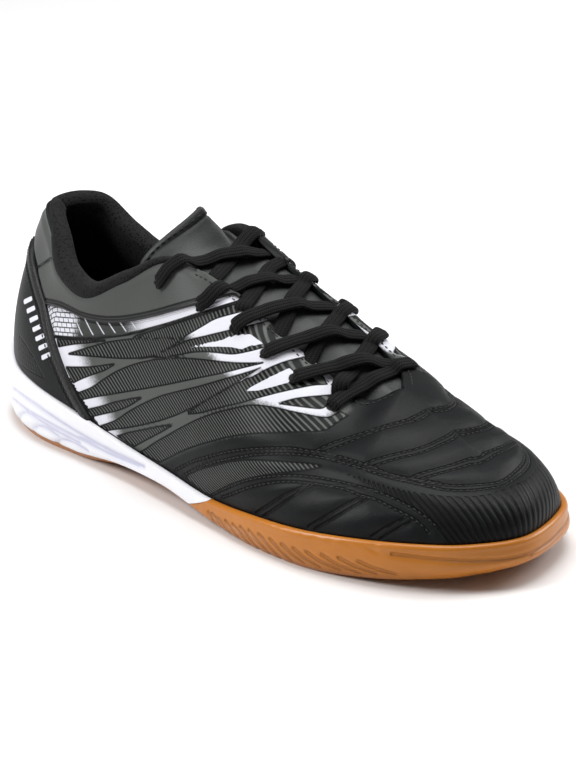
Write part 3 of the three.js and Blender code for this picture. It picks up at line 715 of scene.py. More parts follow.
# Heel counter: its raised strip, the seam of the heel tab, the plain marks and the pinholes
STRIP_FRONT = (FULL, [(34.1, 245.8), (36.4, 267.3), (41.7, 287.1), (47.1, 303), (50.9, 320.8),
                      (58.9, 349.9), (65.5, 368.3), (72.4, 385.1), (80, 400.3), (85.4, 409.5),
                      (92, 420.2)])
STRIP_ABOVE = (-26, 6)
STRIP_BELOW = [(7, -8), (18, -30)]
HEEL_TAB_SEAM = (QUARTER, [(70, 172), (120, 150), (160, 124), (206, 94)])
COUNTER_MARKS_START = (62, 345)
COUNTER_MARKS_END = (160, 655)
COUNTER_MARKS = 7
MARK_CORNERS = [(-30, -6), (16, -28), (22, -3), (-24, 20)]
PINHOLE_FIELD = (QUARTER, [(14, 535), (50, 590), (90, 655), (152, 772), (90, 742), (14, 690)])

EYELETS = table(("lateral", "lateral_level", "medial", "medial_level"), [
    (5.80, 0.84, 5.95, 0.84),
    (6.46, 0.78, 6.50, 0.83),
    (7.00, 0.78, 7.05, 0.84),
    (7.52, 0.79, 7.60, 0.85),
    (8.02, 0.80, 8.20, 0.86),
    (8.68, 0.82, 8.85, 0.86)])

# Upper: a grid of columns round the foot and rows up its side
SKIN_STEP = 0.9


def even_places(level, step):
    """Sections whose columns stand about a step apart at that level."""
    fine = np.linspace(0, TOE, 1500)
    run = run_of(form_point(fine, level))
    throat = np.interp(THROAT_END, fine, run)
    before = np.linspace(0, throat, int(throat / step) + 1)
    after = np.linspace(throat, run[-1], int((run[-1] - throat) / step) + 1)
    places = np.interp(np.concatenate([before, after[1:]]), run, fine)
    places[len(before) - 1] = THROAT_END
    return places


sections = even_places(0.4, SKIN_STEP)
levels = np.concatenate([np.linspace(0, 0.9, 58), np.linspace(0.9, 1.0, 9)[1:]])
grid_u, grid_t = np.meshgrid(sections, levels, indexing="ij")
grid_points = form_point(grid_u, grid_t)
flat_points = grid_points.reshape(-1, 3)
flat_places = np.stack([grid_u.ravel(), grid_t.ravel()], -1)
FAR = 30.0


def line_distance(places, closed=False, within=FAR):
    """Distance in millimetres from the grid's points to a line, and the run along the line."""
    line = form_point(places[:, 0], places[:, 1])
    if closed:
        line = np.vstack([line, line[:1]])
    near = ((flat_points > line.min(0) - within) & (flat_points < line.max(0) + within)).all(1)
    points = flat_points[near]
    best = np.full(len(points), within)
    run = np.zeros(len(points))
    start = 0.0
    for a, b in zip(line[:-1], line[1:]):
        edge = b - a
        length = np.linalg.norm(edge)
        if length < 1e-6:
            continue
        t = np.clip(((points - a) @ edge) / length ** 2, 0, 1)
        distance = np.linalg.norm(points - a - t[:, None] * edge, axis=1)
        closer = distance < best
        best = np.where(closer, distance, best)
        run = np.where(closer, start + t * length, run)
        start += length
    whole, whole_run = np.full(len(flat_points), within), np.zeros(len(flat_points))
    whole[near], whole_run[near] = best, run
    return whole.reshape(grid_u.shape), whole_run.reshape(grid_u.shape)


def inside(places):
    """Which of the grid's points lie inside an outline of places."""
    x, y = flat_places[:, 0], flat_places[:, 1]
    within = np.zeros(len(x), bool)
    for (x1, y1), (x2, y2) in zip(places, np.roll(places, -1, axis=0)):
        crosses = (y1 > y) != (y2 > y)
        if crosses.any():
            at = x1 + (y - y1) * (x2 - x1) / (y2 - y1 if y2 != y1 else 1e-9)
            within ^= crosses & (x < at)
    return within.reshape(grid_u.shape)


def area_distance(places):
    """Distance to an outline, positive inside it."""
    distance, _ = line_distance(places, closed=True)
    return np.where(inside(places), distance, -distance)


def union(areas):
    return np.maximum.reduce(areas)


def field_outline(view, upper, lower):
    return np.vstack([traced(view, upper), traced(view, lower)[::-1]])


def kite_outline(view, points):
    return trace(dense(seen_in(view, points + points[:1]), 40)[:-1])


fields = union([area_distance(field_outline(*field)) for field in RIB_FIELDS])
kites = union([area_distance(kite_outline(*kite)) for kite in KITES])
white_veins = area_distance(trace(WHITE_VEINS))

toe_outline = np.vstack([traced(FULL, TOE_RIBS_TOP), TOE_RIBS_TOP_END, [(13.05, -0.02)],
                         np.stack([np.linspace(13.05, 11.7, 12), np.full(12, -0.02)], -1),
                         traced(FULL, TOE_RIBS_FOOT)[::-1]])
toe_ribs = area_distance(toe_outline)

channel_places = []
for (view, points), ending in CHANNELS:
    places = traced(view, points)
    if ending:
        places = np.vstack([places, ending])
        places = smoothed(dense(places, 0.06), 30)
    channel_places.append(places)
channels = np.minimum.reduce([line_distance(places, within=CHANNEL_REACH)[0] for places in channel_places])

seam_places = traced(*COLLAR_SEAM)
foot_places = traced(*BAND_FOOT)
seam, seam_run = line_distance(seam_places)
collar_outline = np.vstack([seam_places, [(6.9, 1.1), (4.0, 1.2), (-0.1, 1.2), (-0.1, 0.66), (1.5, 0.66)]])
collar = area_distance(collar_outline)
collar = np.where(collar > 0, seam, -seam)
band = area_distance(np.vstack([seam_places, foot_places[::-1]]))
band_foot, _ = line_distance(foot_places)

front_places = trace(seen_in(*STRIP_FRONT))
front_side = form_point(front_places[:, 0], front_places[:, 1])[:, [0, 2]]
front_side = np.vstack([front_side[0] + STRIP_ABOVE, front_side, front_side[-1] + STRIP_BELOW])
front_forward = unit(np.gradient(front_side, axis=0))
front_forward = np.stack([-front_forward[:, 1], front_forward[:, 0]], -1)


def edge_line(offset):
    """A line in side view at a distance in front of the counter's edge, from the top down."""
    line = front_side + front_forward * (offset - GAP - STRIP_WIDTH)
    line[:, 1] = np.minimum.accumulate(line[:, 1] - 0.01 * np.arange(len(line)))
    return line


def side_distance(points):
    """Distance to a line in side view, positive behind it."""
    x, z = grid_points[..., 0], grid_points[..., 2]
    best = np.full(x.shape, 1e3)
    for a, b in zip(points[:-1], points[1:]):
        edge_run = b - a
        t = np.clip(((x - a[0]) * edge_run[0] + (z - a[1]) * edge_run[1]) / (edge_run @ edge_run), 0, 1)
        best = np.minimum(best, np.hypot(x - a[0] - t * edge_run[0], z - a[1] - t * edge_run[1]))
    edge_x = np.interp(z, points[::-1, 1], points[::-1, 0])
    return np.where(x < edge_x, best, -best)


counter = side_distance(edge_line(0.0))
strip_front = np.maximum(0, -counter - STRIP_WIDTH - GAP)

marks = []
for i in range(COUNTER_MARKS):
    middle = mix(np.array(COUNTER_MARKS_START), np.array(COUNTER_MARKS_END), i / (COUNTER_MARKS - 1))
    marks.append(area_distance(trace(seen_in(QUARTER, [tuple(middle + corner) for corner in MARK_CORNERS]))))
marks = union(marks)
pinholes = area_distance(trace(seen_in(*PINHOLE_FIELD)))
tab_seam, _ = line_distance(np.vstack([[(0.0, 0.63)], traced(*HEEL_TAB_SEAM)]), within=8.0)


def hole_distance(side, points):
    """Distance from points to the middles of one side's lace holes."""
    best = np.full(grid_u.shape, FAR)
    for section, level in zip(EYELETS[side], EYELETS[side + "_level"]):
        middle = skin(RING - section if side == "medial" else section, level)
        best = np.minimum(best, np.linalg.norm(points - middle, axis=-1))
    return best


holes = hole_distance("lateral", grid_points)
medial_holes = hole_distance("medial", form_point(RING - grid_u, grid_t))

# Phase of the ribs: on the quarter they slope down towards the toe, steeper further forward
forward = smoothstep(70, 200, grid_points[..., 0])
rib_pitch = mix(1.6, 0.98, forward)
lean = np.radians(mix(56, 67, forward))
ribs = ((grid_points[..., 0] - 130) * np.cos(lean) + (grid_points[..., 2] - 35) * np.sin(lean)) / rib_pitch
rim_run = run_of(form_point(sections, 0.0))
TOE_RIB_PITCH = 2.2
TOE_RIB_SLANT = 46.0
slant = TOE_RIB_SLANT * np.clip((TOE - grid_u) / 2, 0, 1)
toe_phase = (np.broadcast_to(rim_run[:, None], grid_u.shape) - rim_run[-1] + slant * grid_t) / TOE_RIB_PITCH

# Relief that is wide enough for the mesh to carry
VAMP_PUFF = 0.55
CHANNEL_DEPTH = 0.4
TAB_SEAM_DEPTH = 0.5
FIELD_RISE = 0.25
panel_edge = smoothstep(-0.8, 0.8, collar) * smoothstep(0.0, 2.0, strip_front)
relief = OVERLAY_RISE * np.maximum(smoothstep(-0.5, 0.8, counter), panel_edge * 0.9)
vamp_zone = smoothstep(8.6, 9.6, grid_u + 2.2 * (1 - grid_t))
near_channel = channels < CHANNEL_REACH - 0.1
puffed = VAMP_PUFF * (1 - bell(channels, 4.5)) * vamp_zone
relief += (puffed - CHANNEL_DEPTH * bell(channels, 1.7)) * near_channel
relief += VAMP_PUFF * vamp_zone * ~near_channel
relief -= TAB_SEAM_DEPTH * bell(tab_seam, 1.2)
relief += FIELD_RISE * smoothstep(-0.8, 0.3, -fields) * smoothstep(0, 4, strip_front) * (1 - vamp_zone)
relief[:, levels < 0.015] *= 0.3
to_top = np.linalg.norm(grid_points - grid_points[:, -1:], axis=-1)
relief *= np.where(grid_u < 6.4, smoothstep(0.5, 5.5, to_top), 1.0)


def relief_at(section, level):
    """Relief at any places on the side of the form, read between the grid's points."""
    i = np.clip(np.interp(section, sections, np.arange(len(sections))), 0, len(sections) - 1.001)
    j = np.clip(np.interp(level, levels, np.arange(len(levels))), 0, len(levels) - 1.001)
    i0, j0 = np.floor(i).astype(int), np.floor(j).astype(int)
    fi, fj = i - i0, j - j0
    low = mix(relief[i0, j0], relief[i0 + 1, j0], fi)
    high = mix(relief[i0, j0 + 1], relief[i0 + 1, j0 + 1], fi)
    return mix(low, high, fj)


def dressed(u, level, out=0.0):
    """A point over the relief of the dressed upper."""
    u, level = np.asarray(u, float), np.asarray(level, float)
    return skin(u, level, relief_at(section_of(u), level) + out)


# Rows of the upper's mesh: outer face, rolled top edge and inner face
ring_index = np.concatenate([np.arange(len(sections)), np.arange(len(sections) - 2, 0, -1)])
ring_u = np.concatenate([sections, RING - sections[-2:0:-1]])
OUTER_LOW = [-1.0, -0.5, -0.12]
EDGE_ROW = -1
INNER_ROW = -2
INNER_LEVELS = [1.0, 0.96, 0.88, 0.75, 0.6, 0.45, 0.3, 0.15, 0.0, -0.5, -1.0]


def around(values):
    """A row of lateral values carried round the whole ring."""
    return values[ring_index]


upper_rows, row_kind = [], []
for level in OUTER_LOW:
    upper_rows.append(skin(ring_u, level))
    row_kind.append(0)
for j, level in enumerate(levels):
    upper_rows.append(skin(ring_u, level, around(relief[:, j])))
    row_kind.append(j)
open_top = smoothstep(0, 0.3, THROAT_END - section_of(ring_u))
for out, rise in ((-0.25, 0.15), (-1.0, 0.22), (-1.7, 0.05)):
    row = skin(ring_u, 1.0, np.where(open_top > 0, out * open_top, around(relief[:, -1])))
    row[:, 2] += rise * open_top
    upper_rows.append(row)
    row_kind.append(EDGE_ROW)
for level in INNER_LEVELS:
    upper_rows.append(skin(ring_u, level, -UPPER_WALL))
    row_kind.append(INNER_ROW)
columns = len(ring_u)
upper_points = np.vstack(upper_rows)
first_edge = len(OUTER_LOW) + len(levels) - 1
throat_closed = section_of(ring_u) >= THROAT_END - 1e-6
upper_faces = []
for face in grid_faces(columns, len(upper_rows), wrap_columns=True, wrap_rows=True):
    row, column = divmod(face[0], columns)
    in_edge = first_edge <= row < first_edge + 4
    if in_edge and throat_closed[column] and throat_closed[(column + 1) % columns]:
        continue
    upper_faces.append(face)


def upper_values(lateral, default=0.0, medial=None):
    """One number for each point of the upper's mesh."""
    medial = lateral if medial is None else medial
    rows = []
    for kind in row_kind:
        if kind < 0:
            rows.append(np.full(columns, default))
        else:
            rows.append(np.where(ring_u > TOE, around(medial[:, kind]), around(lateral[:, kind])))
    return np.concatenate(rows)


# Leather of the upper
CHARCOAL = (0.0045, 0.005, 0.0056)
CHARCOAL_PALE = (0.0105, 0.0115, 0.012)
# Painted sheen: a lit grey over the smooth veins and, at half share, the band, standing in for the light on
# the smooth leather
VEIN_PAINTED_SHEEN = (0.10, 0.107, 0.099)
# Painted sheen: a lit grey laid over the collar's charcoal leather, standing in for the light on it
COLLAR_PAINTED_SHEEN = (0.10, 0.105, 0.10)
# Painted highlight: the tops of the quarter's fine ribs are a lit grey
RIB_PAINTED_HIGHLIGHT = (0.11, 0.118, 0.11)
# Near-black of the pinholes and lace holes, and painted shade in the rib gaps, toe rib gaps, channels and
# seams
SHADE_AND_HOLE_BLACK = (0.0025, 0.0025, 0.003)
# Painted shade: the upper's inner face is made near-black for the shade inside the shoe
INNER_SHADE_BLACK = (0.003, 0.003, 0.0035)
PRINT_WHITE = (0.71, 0.71, 0.77)
PIN_SPACING = 2.3
PIN_ROW = 1.9
BAR_SPACING = 6.4
BRICK_WIDTH = 3.6
BRICK_HEIGHT = 2.0

leather = Shade("upper_leather", 0.45, Specular_IOR_Level=0.1, Coat_Weight=0.04, Coat_Roughness=0.35)
at_field, at_seam, at_foot, at_counter, at_pins, at_inner, at_band, band_run, band_up = [
    leather.attribute(name) for name in
    ("field", "seam", "band_foot", "counter", "pinholes", "inner", "band", "band_run", "band_up")]
in_field = at_field.step(-0.15, 0.2)
in_toe = leather.attribute("toe").step(-0.1, 0.5)
rib_ridge = leather.attribute("ribs").wave().step(-0.25, 0.85)
toe_ridge = leather.attribute("toe_ribs").wave().step(-0.8, 0.7)
outline_groove = abs(at_field + 0.1).fade(0.1, 0.5)
channel = leather.attribute("channel").fade(0.15, CHANNEL_WIDTH)
seam_dark = abs(at_seam - 1.5).fade(0.1, 0.6)
seam_cord = at_seam.fade(0.4, 1.4)
foot_dark = at_foot.fade(0.1, 0.6)
foot_cord = abs(at_foot - 0.9).fade(0.1, 0.5)
tab_line = leather.attribute("tab_seam").fade(0.1, 0.7)
hole = leather.attribute("hole").fade(2.0, 2.6)
off_counter = 1 - at_counter.step(-0.3, 0.3)
in_collar = leather.attribute("collar").step(-0.2, 0.4)
off_collar = 1 - in_collar
in_band = at_band.step(-0.1, 0.4)
pin_line = abs(at_pins).fade(0.1, 0.5)
grain_fine = leather.noise(0.35, 3.0)
grain_wide = leather.noise(9.0, 2.0)
pores = leather.cells(0.9)

# Pinholes in rows
x_axis, _, z_axis = leather.axes()
pin_x = ((x_axis + z_axis * 0.5) * (1000 / PIN_SPACING)).fraction() - 0.5
pin_z = (z_axis * (1000 / PIN_ROW)).fraction() - 0.5
pin_far = leather.math("SQRT", pin_x ** 2.0 + pin_z ** 2.0)
pin = pin_far.fade(0.16, 0.28) * at_pins.step(0.6, 1.4)

# White print: kites, veins beside the lace holes, veins beside the strip, the band and the marks
speckle = leather.noise(0.7, 1.0)
veins = (at_field.fade(-0.6, -0.15) * (1 - in_band) * off_collar * off_counter * at_seam.step(1.6, 2.2)
         * at_foot.step(0.5, 1.0))
eyelet_fade = leather.attribute("white_veins") + speckle * 3.2 - 1.6
eyelet_white = veins * at_foot.step(1.8, 2.8) * eyelet_fade.step(-1.6, 2.2)
strip_fade = leather.attribute("strip_front") - speckle * 4.0
strip_white = veins * strip_fade.fade(STRIP_WHITE - 4.0, STRIP_WHITE + STRIP_FADE - 4.0)
at_quarter = leather.attribute("quarter")
strip_white = strip_white * at_quarter.step(0.45, 0.55)
kite_white = leather.attribute("kite").step(-0.12, 0.12)
bar_place = ((band_run + band_up * 0.9) * (1 / BAR_SPACING)).fraction()
bars = bar_place.step(0.05, 0.1) * bar_place.fade(0.15, 0.2) * band_up.step(0.8, 1.4)
bricks = leather.node("TexBrick", {
    "Vector": leather.node("CombineXYZ", {0: band_run + band_up * 0.6, 1: band_up}), "Scale": 1.0,
    "Color1": (1, 1, 1), "Color2": (1, 1, 1), "Mortar": (0, 0, 0), "Mortar Size": 0.26, "Mortar Smooth": 0.2,
    "Brick Width": BRICK_WIDTH, "Row Height": BRICK_HEIGHT}, "Color")
brick_zone = (band_run + speckle * 4.0).fade(26.0, 32.0)
stripe_zone = (band_run + speckle * 6.0).step(58.0, 74.0)
bar_zone = (1 - brick_zone) * band_run.fade(62.0, 70.0)
band_print = most(brick_zone * bricks, bar_zone * bars, stripe_zone)
band_white = in_band * at_band.step(0.5, 0.9) * off_counter * band_print
mark_white = leather.attribute("mark").step(-0.1, 0.15)
white = most(eyelet_white, strip_white, kite_white, band_white, mark_white)
white = white * (1 - at_inner) * (1 - hole)

# Painted shade: the channels, the grooves beside the seam cord and band foot, the heel tab seam and the field
# outlines are darkened where shade falls in them
lines = most(channel, seam_dark, foot_dark, tab_line, outline_groove * off_collar) * off_counter
base = leather.layers(
    leather.colour(grain_wide, CHARCOAL, CHARCOAL_PALE),
    # painted sheen on the collar
    (in_collar * 0.7, COLLAR_PAINTED_SHEEN),
    # painted sheen on the veins and the band
    (most(veins * at_quarter, in_band * off_counter * 0.5) * 0.8, VEIN_PAINTED_SHEEN),
    # painted highlight on the rib ridges, painted shade in the gaps between them
    (in_field, leather.colour(rib_ridge, SHADE_AND_HOLE_BLACK, RIB_PAINTED_HIGHLIGHT)),
    # painted shade between the toe's ribs
    (in_toe * (1 - toe_ridge) * 0.9, SHADE_AND_HOLE_BLACK),
    # painted shade in the grooves
    (lines * 0.8, SHADE_AND_HOLE_BLACK),
    (white, PRINT_WHITE),
    (most(pin, hole), SHADE_AND_HOLE_BLACK),
    # painted shade on the inner face
    (at_inner, INNER_SHADE_BLACK))
rib_height = in_field * (1 - kite_white) * (rib_ridge * 0.42 - 0.45)
toe_height = in_toe * (toe_ridge * 0.75 - 0.6)
height = (grain_fine * 0.05 + pores * 0.05 + rib_height + toe_height
          + outline_groove * -0.3 * off_collar * off_counter
          + channel * -0.7 + seam_dark * -0.6 + seam_cord * 0.5
          + foot_dark * -0.5 + foot_cord * 0.25 * in_band + tab_line * -0.5
          + pin * -0.3 + pin_line * -0.35 + hole * -0.8)
leather.finish(base, 0.4 + grain_fine * 0.12 + white * 0.05 + at_inner * 0.4, height)

upper = make_piece("upper_skin", upper_points, upper_faces, leather.material,
                   replaces=("upper", "toe_cap", "heel_counter", "collar_panel"))
behind_quarter = -area_distance(trace(QUARTER_OUTLINE))
quarter_zone = (counter < 0) * (1 - smoothstep(-2.0, 1.0, behind_quarter))
give(upper, field=upper_values(fields, -FAR), ribs=upper_values(ribs), kite=upper_values(kites, -FAR),
     white_veins=upper_values(white_veins, -FAR), toe=upper_values(toe_ribs, -FAR),
     toe_ribs=upper_values(toe_phase), channel=upper_values(channels, FAR), seam=upper_values(seam, FAR),
     band_foot=upper_values(band_foot, FAR), tab_seam=upper_values(tab_seam, FAR),
     hole=upper_values(holes, FAR, medial_holes), counter=upper_values(counter, -FAR),
     collar=upper_values(collar, -FAR), band=upper_values(band, -FAR), pinholes=upper_values(pinholes, -FAR),
     strip_front=upper_values(strip_front, FAR), band_run=upper_values(seam_run),
     band_up=upper_values(band_foot),
     mark=upper_values(marks, -FAR), quarter=upper_values(quarter_zone),
     inner=np.concatenate([np.full(columns, 1.0 if kind == INNER_ROW else 0.0) for kind in row_kind]))
weld(upper)


# Sweeps and threads
def read_along(points, run, at):
    return np.stack([np.interp(at, run, points[:, k]) for k in range(3)], -1)


def merge(parts):
    """One list of points and one of faces out of several."""
    points, faces, start = [], [], 0
    for part_points, part_faces in parts:
        points.append(part_points)
        faces += [tuple(start + i for i in face) for face in part_faces]
        start += len(part_points)
    return np.vstack(points), faces


THREAD_PITCH = 2.4
THREAD_LENGTH = 1.6
THREAD_RADIUS = 0.27
THREAD_SIDES = 6


def stitches(points, normals, radius=THREAD_RADIUS, pitch=THREAD_PITCH, length=THREAD_LENGTH):
    """Short threads along a line, each of which dips into the leather at both ends."""
    run = run_of(points)
    out = []
    around_thread = np.arange(THREAD_SIDES) * 2 * np.pi / THREAD_SIDES
    cosine, sine = np.cos(around_thread)[:, None], np.sin(around_thread)[:, None]
    for start in np.arange(0.3 * pitch, run[-1] - length, pitch):
        at = start + length * np.array([0, 0.18, 0.82, 1])
        centre = read_along(points, run, at)
        up = unit(read_along(normals, run, at))
        side = unit(np.cross(unit(centre[-1] - centre[0]), up))
        centre = centre + up * np.array([-0.3, 0.1, 0.1, -0.3])[:, None]
        rings = [centre[i] + size * radius * (cosine * side[i] + sine * up[i])
                 for i, size in enumerate((0.5, 1.0, 1.0, 0.5))]
        out.append((np.vstack(rings), tube_faces(THREAD_SIDES, 4)))
    return out


def on_both_sides(places, out=0.0):
    """A line over the dressed upper and its normals, on the lateral and on the medial side."""
    for u in (places[:, 0], RING - places[:, 0]):
        yield dressed(u, places[:, 1], out), form_normal(u, places[:, 1])


def even_points(points, count):
    fine = dense(points, 0.4)
    run = run_of(fine)
    return read_along(fine, run, np.linspace(0, run[-1], count))


THREAD_DARK = (0.003, 0.003, 0.0035)
THREAD_PALE = (0.014, 0.014, 0.015)
thread = Shade("stitch_thread", 0.55)
thread_twist = thread.noise(0.25, 1.0)
thread.finish(thread.colour(thread_twist, THREAD_DARK, THREAD_PALE), None, thread_twist * 0.1)
rows = []
for places in channel_places[:STITCHED_CHANNELS]:
    for line, normals in on_both_sides(places, -0.12):
        rows += stitches(smoothed(line, 4), unit(smoothed(normals, 4)))

# Strip along the counter's front edge
def along_counter(offset, count=90):
    """Places at a distance in front of the counter's edge, from the middle of the heel to the sole."""
    probe = np.linspace(0, 1, 300)
    u = np.linspace(0.0, 6.0, 600)
    low = form_point(u, 0.0)
    line = edge_line(offset)[::-1]
    ahead = low[:, 0] - np.interp(low[:, 2], line[:, 1], line[:, 0])
    last = u[int(np.argmax(ahead > 0))]
    found = []
    for section in np.linspace(0, last, count):
        points = form_point(section, probe)
        ahead = points[:, 0] - np.interp(points[:, 2], line[:, 1], line[:, 0])
        i = int(np.argmax(ahead > 0))
        share = ahead[i - 1] / (ahead[i - 1] - ahead[i]) if i else 0.0
        found.append((section, mix(probe[i - 1], probe[i], share) if i else 0.0))
    return np.array(found)


across_strip = np.linspace(-1, 1, 13)
strip_profile = (1 - np.abs(across_strip) ** 4) ** 0.5
strip_rows = [along_counter(GAP + STRIP_WIDTH * (s + 1) / 2) for s in across_strip]
STRIP_DARK = (0.006, 0.006, 0.0065)
STRIP_PALE = (0.014, 0.0145, 0.015)
strip_shade = Shade("strip_leather", 0.4, Specular_IOR_Level=0.3, Coat_Weight=0.05, Coat_Roughness=0.3)
strip_grain = strip_shade.noise(0.4, 3.0)
strip_tone = strip_shade.colour(strip_shade.noise(6.0, 2.0), STRIP_DARK, STRIP_PALE)
strip_shade.finish(strip_tone, 0.32 + strip_grain * 0.16, strip_grain * 0.06)
strips = []
for medial in (False, True):
    loops = []
    for i in range(len(strip_rows[0])):
        loop = []
        for places, height in zip(strip_rows, strip_profile):
            section, level = places[i]
            u = RING - section if medial else section
            loop.append(skin(u, level, -0.25 + (STRIP_RISE + 0.15) * height))
        for places in (strip_rows[-1], strip_rows[0]):
            section, level = places[i]
            loop.append(skin(RING - section if medial else section, level, -0.6))
        loops.append(loop)
    loop_points = np.array(loops).reshape(-1, 3)
    count = len(across_strip) + 2
    faces = grid_faces(count, len(loops), wrap_columns=True)
    faces.append(tuple(range(len(loops) * count - 1, (len(loops) - 1) * count - 1, -1)))
    strips.append((loop_points, faces))
strip = make_piece("strip_skin", *merge(strips), strip_shade.material, replaces=("counter_strip",))
weld(strip)
for share in (0.16, 0.84):
    places = along_counter(GAP + STRIP_WIDTH * share, 70)
    profile = (1 - abs(2 * share - 1) ** 4) ** 0.5
    for u in (places[:, 0], RING - places[:, 0]):
        line = skin(u, places[:, 1], -0.2 + (STRIP_RISE + 0.15) * profile)
        rows += stitches(line, form_normal(u, places[:, 1]), radius=0.24)

# Stitches along the counter, the throat's edge and the heel tab seam
for line, normals in on_both_sides(along_counter(-1.5, 70), 0.1):
    rows += stitches(line, normals, radius=0.26)
edge_levels = np.full(60, 0.945)
throat_places = np.stack([np.linspace(6.3, 9.85, 60), edge_levels], -1)
for line, normals in on_both_sides(throat_places, 0.05):
    rows += stitches(line, normals, radius=0.26)
tab_places = dense(np.vstack([[(0.02, 0.645)], traced(*HEEL_TAB_SEAM) + (0.0, 0.015)]), 0.05)
for line, normals in on_both_sides(tab_places, 0.05):
    rows += stitches(line, normals, radius=0.24)
thread_piece = make_piece("stitches", *merge(rows), thread.material)

# Piping cord in the seam under the smooth collar
PIPING_RADIUS = 0.8
PIPING_SIDES = 10
cords = []
around_cord = np.arange(PIPING_SIDES) * 2 * np.pi / PIPING_SIDES
for line, normals in on_both_sides(seam_places, 0.15):
    line = smoothed(line, 6)
    tangent = unit(np.gradient(line, axis=0))
    side = unit(np.cross(tangent, normals))
    rings = [line[i] + PIPING_RADIUS * (np.cos(a) * side[i] + np.sin(a) * normals[i])
             for i in range(len(line)) for a in around_cord]
    cords.append((np.array(rings), tube_faces(PIPING_SIDES, len(line))))
piping = make_piece("collar_piping", *merge(cords), strip_shade.material)

# Padded lining: a roll over the collar's edge and a pad down the inside
LINING_END = 6 + 1 / 3
LINING_LOW = 0.36
LINING_HIGH = 1.1
ROLL = [(-1.2, -4.3), (-2.9, -4.1), (-3.5, -2.6), (-3.5, -0.9), (-2.9, 0.7), (-1.6, 1.9), (0.2, 2.5),
        (2.2, 2.6), (4.2, 2.1), (5.6, 0.9), (6.4, -1.0)]
PAD_LEVELS = [0.93, 0.85, 0.75, 0.65, 0.56, 0.45, LINING_LOW]
BACK_LEVELS = [LINING_LOW, 0.5, 0.65, 0.8, 0.93]
lining_u = np.linspace(-LINING_END, LINING_END, 260)
lining_fade = 1 - (np.abs(lining_u) / (LINING_END + 0.1)) ** 6
heel_thin = mix(0.55, 1, np.clip(np.abs(lining_u) / 3, 0, 1))


def lining_inward(level):
    rise = (level - LINING_LOW) / (LINING_HIGH - LINING_LOW)
    return LINING_EDGE + (LINING_PAD - LINING_EDGE) * lining_fade * heel_thin * np.sin(np.pi * rise ** 1.7)


wall_in = UPPER_WALL + GAP
pad_rows = [skin(lining_u, level, -wall_in) for level in BACK_LEVELS]
outer_share = smoothstep(1.0, 3.0, np.abs(lining_u))
side_height = np.linalg.norm(form_point(lining_u, 1.0) - form_point(lining_u, 0.9), axis=1) / 0.1
for i, (inward, rise) in enumerate(even_points([(*p, 0.0) for p in ROLL], 26)[:, :2]):
    outside = inward < 0.5
    level = 1.0 + (min(rise, 0.0) * lining_fade * outer_share / side_height if outside else 0.0)
    thin = mix(0.25, 1.0, outer_share) if outside else lining_fade * mix(0.8, 1, heel_thin)
    row = skin(lining_u, level, -(wall_in + inward * thin))
    row[:, 2] += (max(rise, 0.0) if outside else rise) * lining_fade
    pad_rows.append(row)
pad_levels = np.linspace(PAD_LEVELS[0], PAD_LEVELS[-1], 26)
for level in pad_levels:
    seam_bulge = 1.2 * lining_fade * bell(level - 0.9, 0.1)
    pad_rows.append(skin(lining_u, level, -(wall_in + lining_inward(level) + seam_bulge)))
pad_faces = grid_faces(len(lining_u), len(pad_rows), wrap_rows=True)
pad_faces += [tuple(j * len(lining_u) for j in range(len(pad_rows))),
              tuple(j * len(lining_u) + len(lining_u) - 1 for j in reversed(range(len(pad_rows))))]

MESH_DARK = (0.006, 0.006, 0.0065)
MESH_PALE = (0.018, 0.018, 0.019)
MESH_HOLE = (0.001, 0.001, 0.001)
mesh_cloth = Shade("mesh_cloth", 0.9, Specular_IOR_Level=0.12, Sheen_Weight=0.03, Sheen_Roughness=0.5)
mesh_hole = mesh_cloth.cells(1.1).fade(0.2, 0.45)
mesh_yarn = mesh_cloth.noise(0.3, 2.0)
mesh_tone = mesh_cloth.layers(mesh_cloth.colour(mesh_yarn, MESH_DARK, MESH_PALE), (mesh_hole, MESH_HOLE))
mesh_cloth.finish(mesh_tone, None, mesh_hole * -0.2 + mesh_yarn * 0.05)
lining = make_piece("lining_pad", np.vstack(pad_rows), pad_faces, mesh_cloth.material,
                    replaces=("collar_lining",))
weld(lining)
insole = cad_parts["insole"]
insole.data.materials.clear()
insole.data.materials.append(mesh_cloth.material)

# Tongue
CROWN = table(("section", "along", "across", "height"), [
    (5, 0.376, 0.06, 1.205),
    (6, 0.436, 0.14, 0.975),
    (7, 0.520, 0.11, 0.885),
    (8, 0.622, 0.09, 0.750),
    (9, 0.708, 0.11, 0.618),
    (10, 0.753, 0.135, 0.572)])
TONGUE_TOP = 5
TONGUE_ROOT = 10.4
TONGUE_TUCK = 0.2


def crown_point(section):
    i = np.clip(np.floor(section).astype(int) - TONGUE_TOP, 0, 4)
    t = section - TONGUE_TOP - i
    rows = [np.clip(i + k, 0, 5) for k in (-1, 0, 1, 2)]
    scales = {"along": SOLE_LENGTH, "across": COLLAR_WIDTH, "height": HEEL_TAB_HEIGHT}
    return np.stack([smooth_between(*CROWN[name][rows], t) * scale for name, scale in scales.items()], -1)


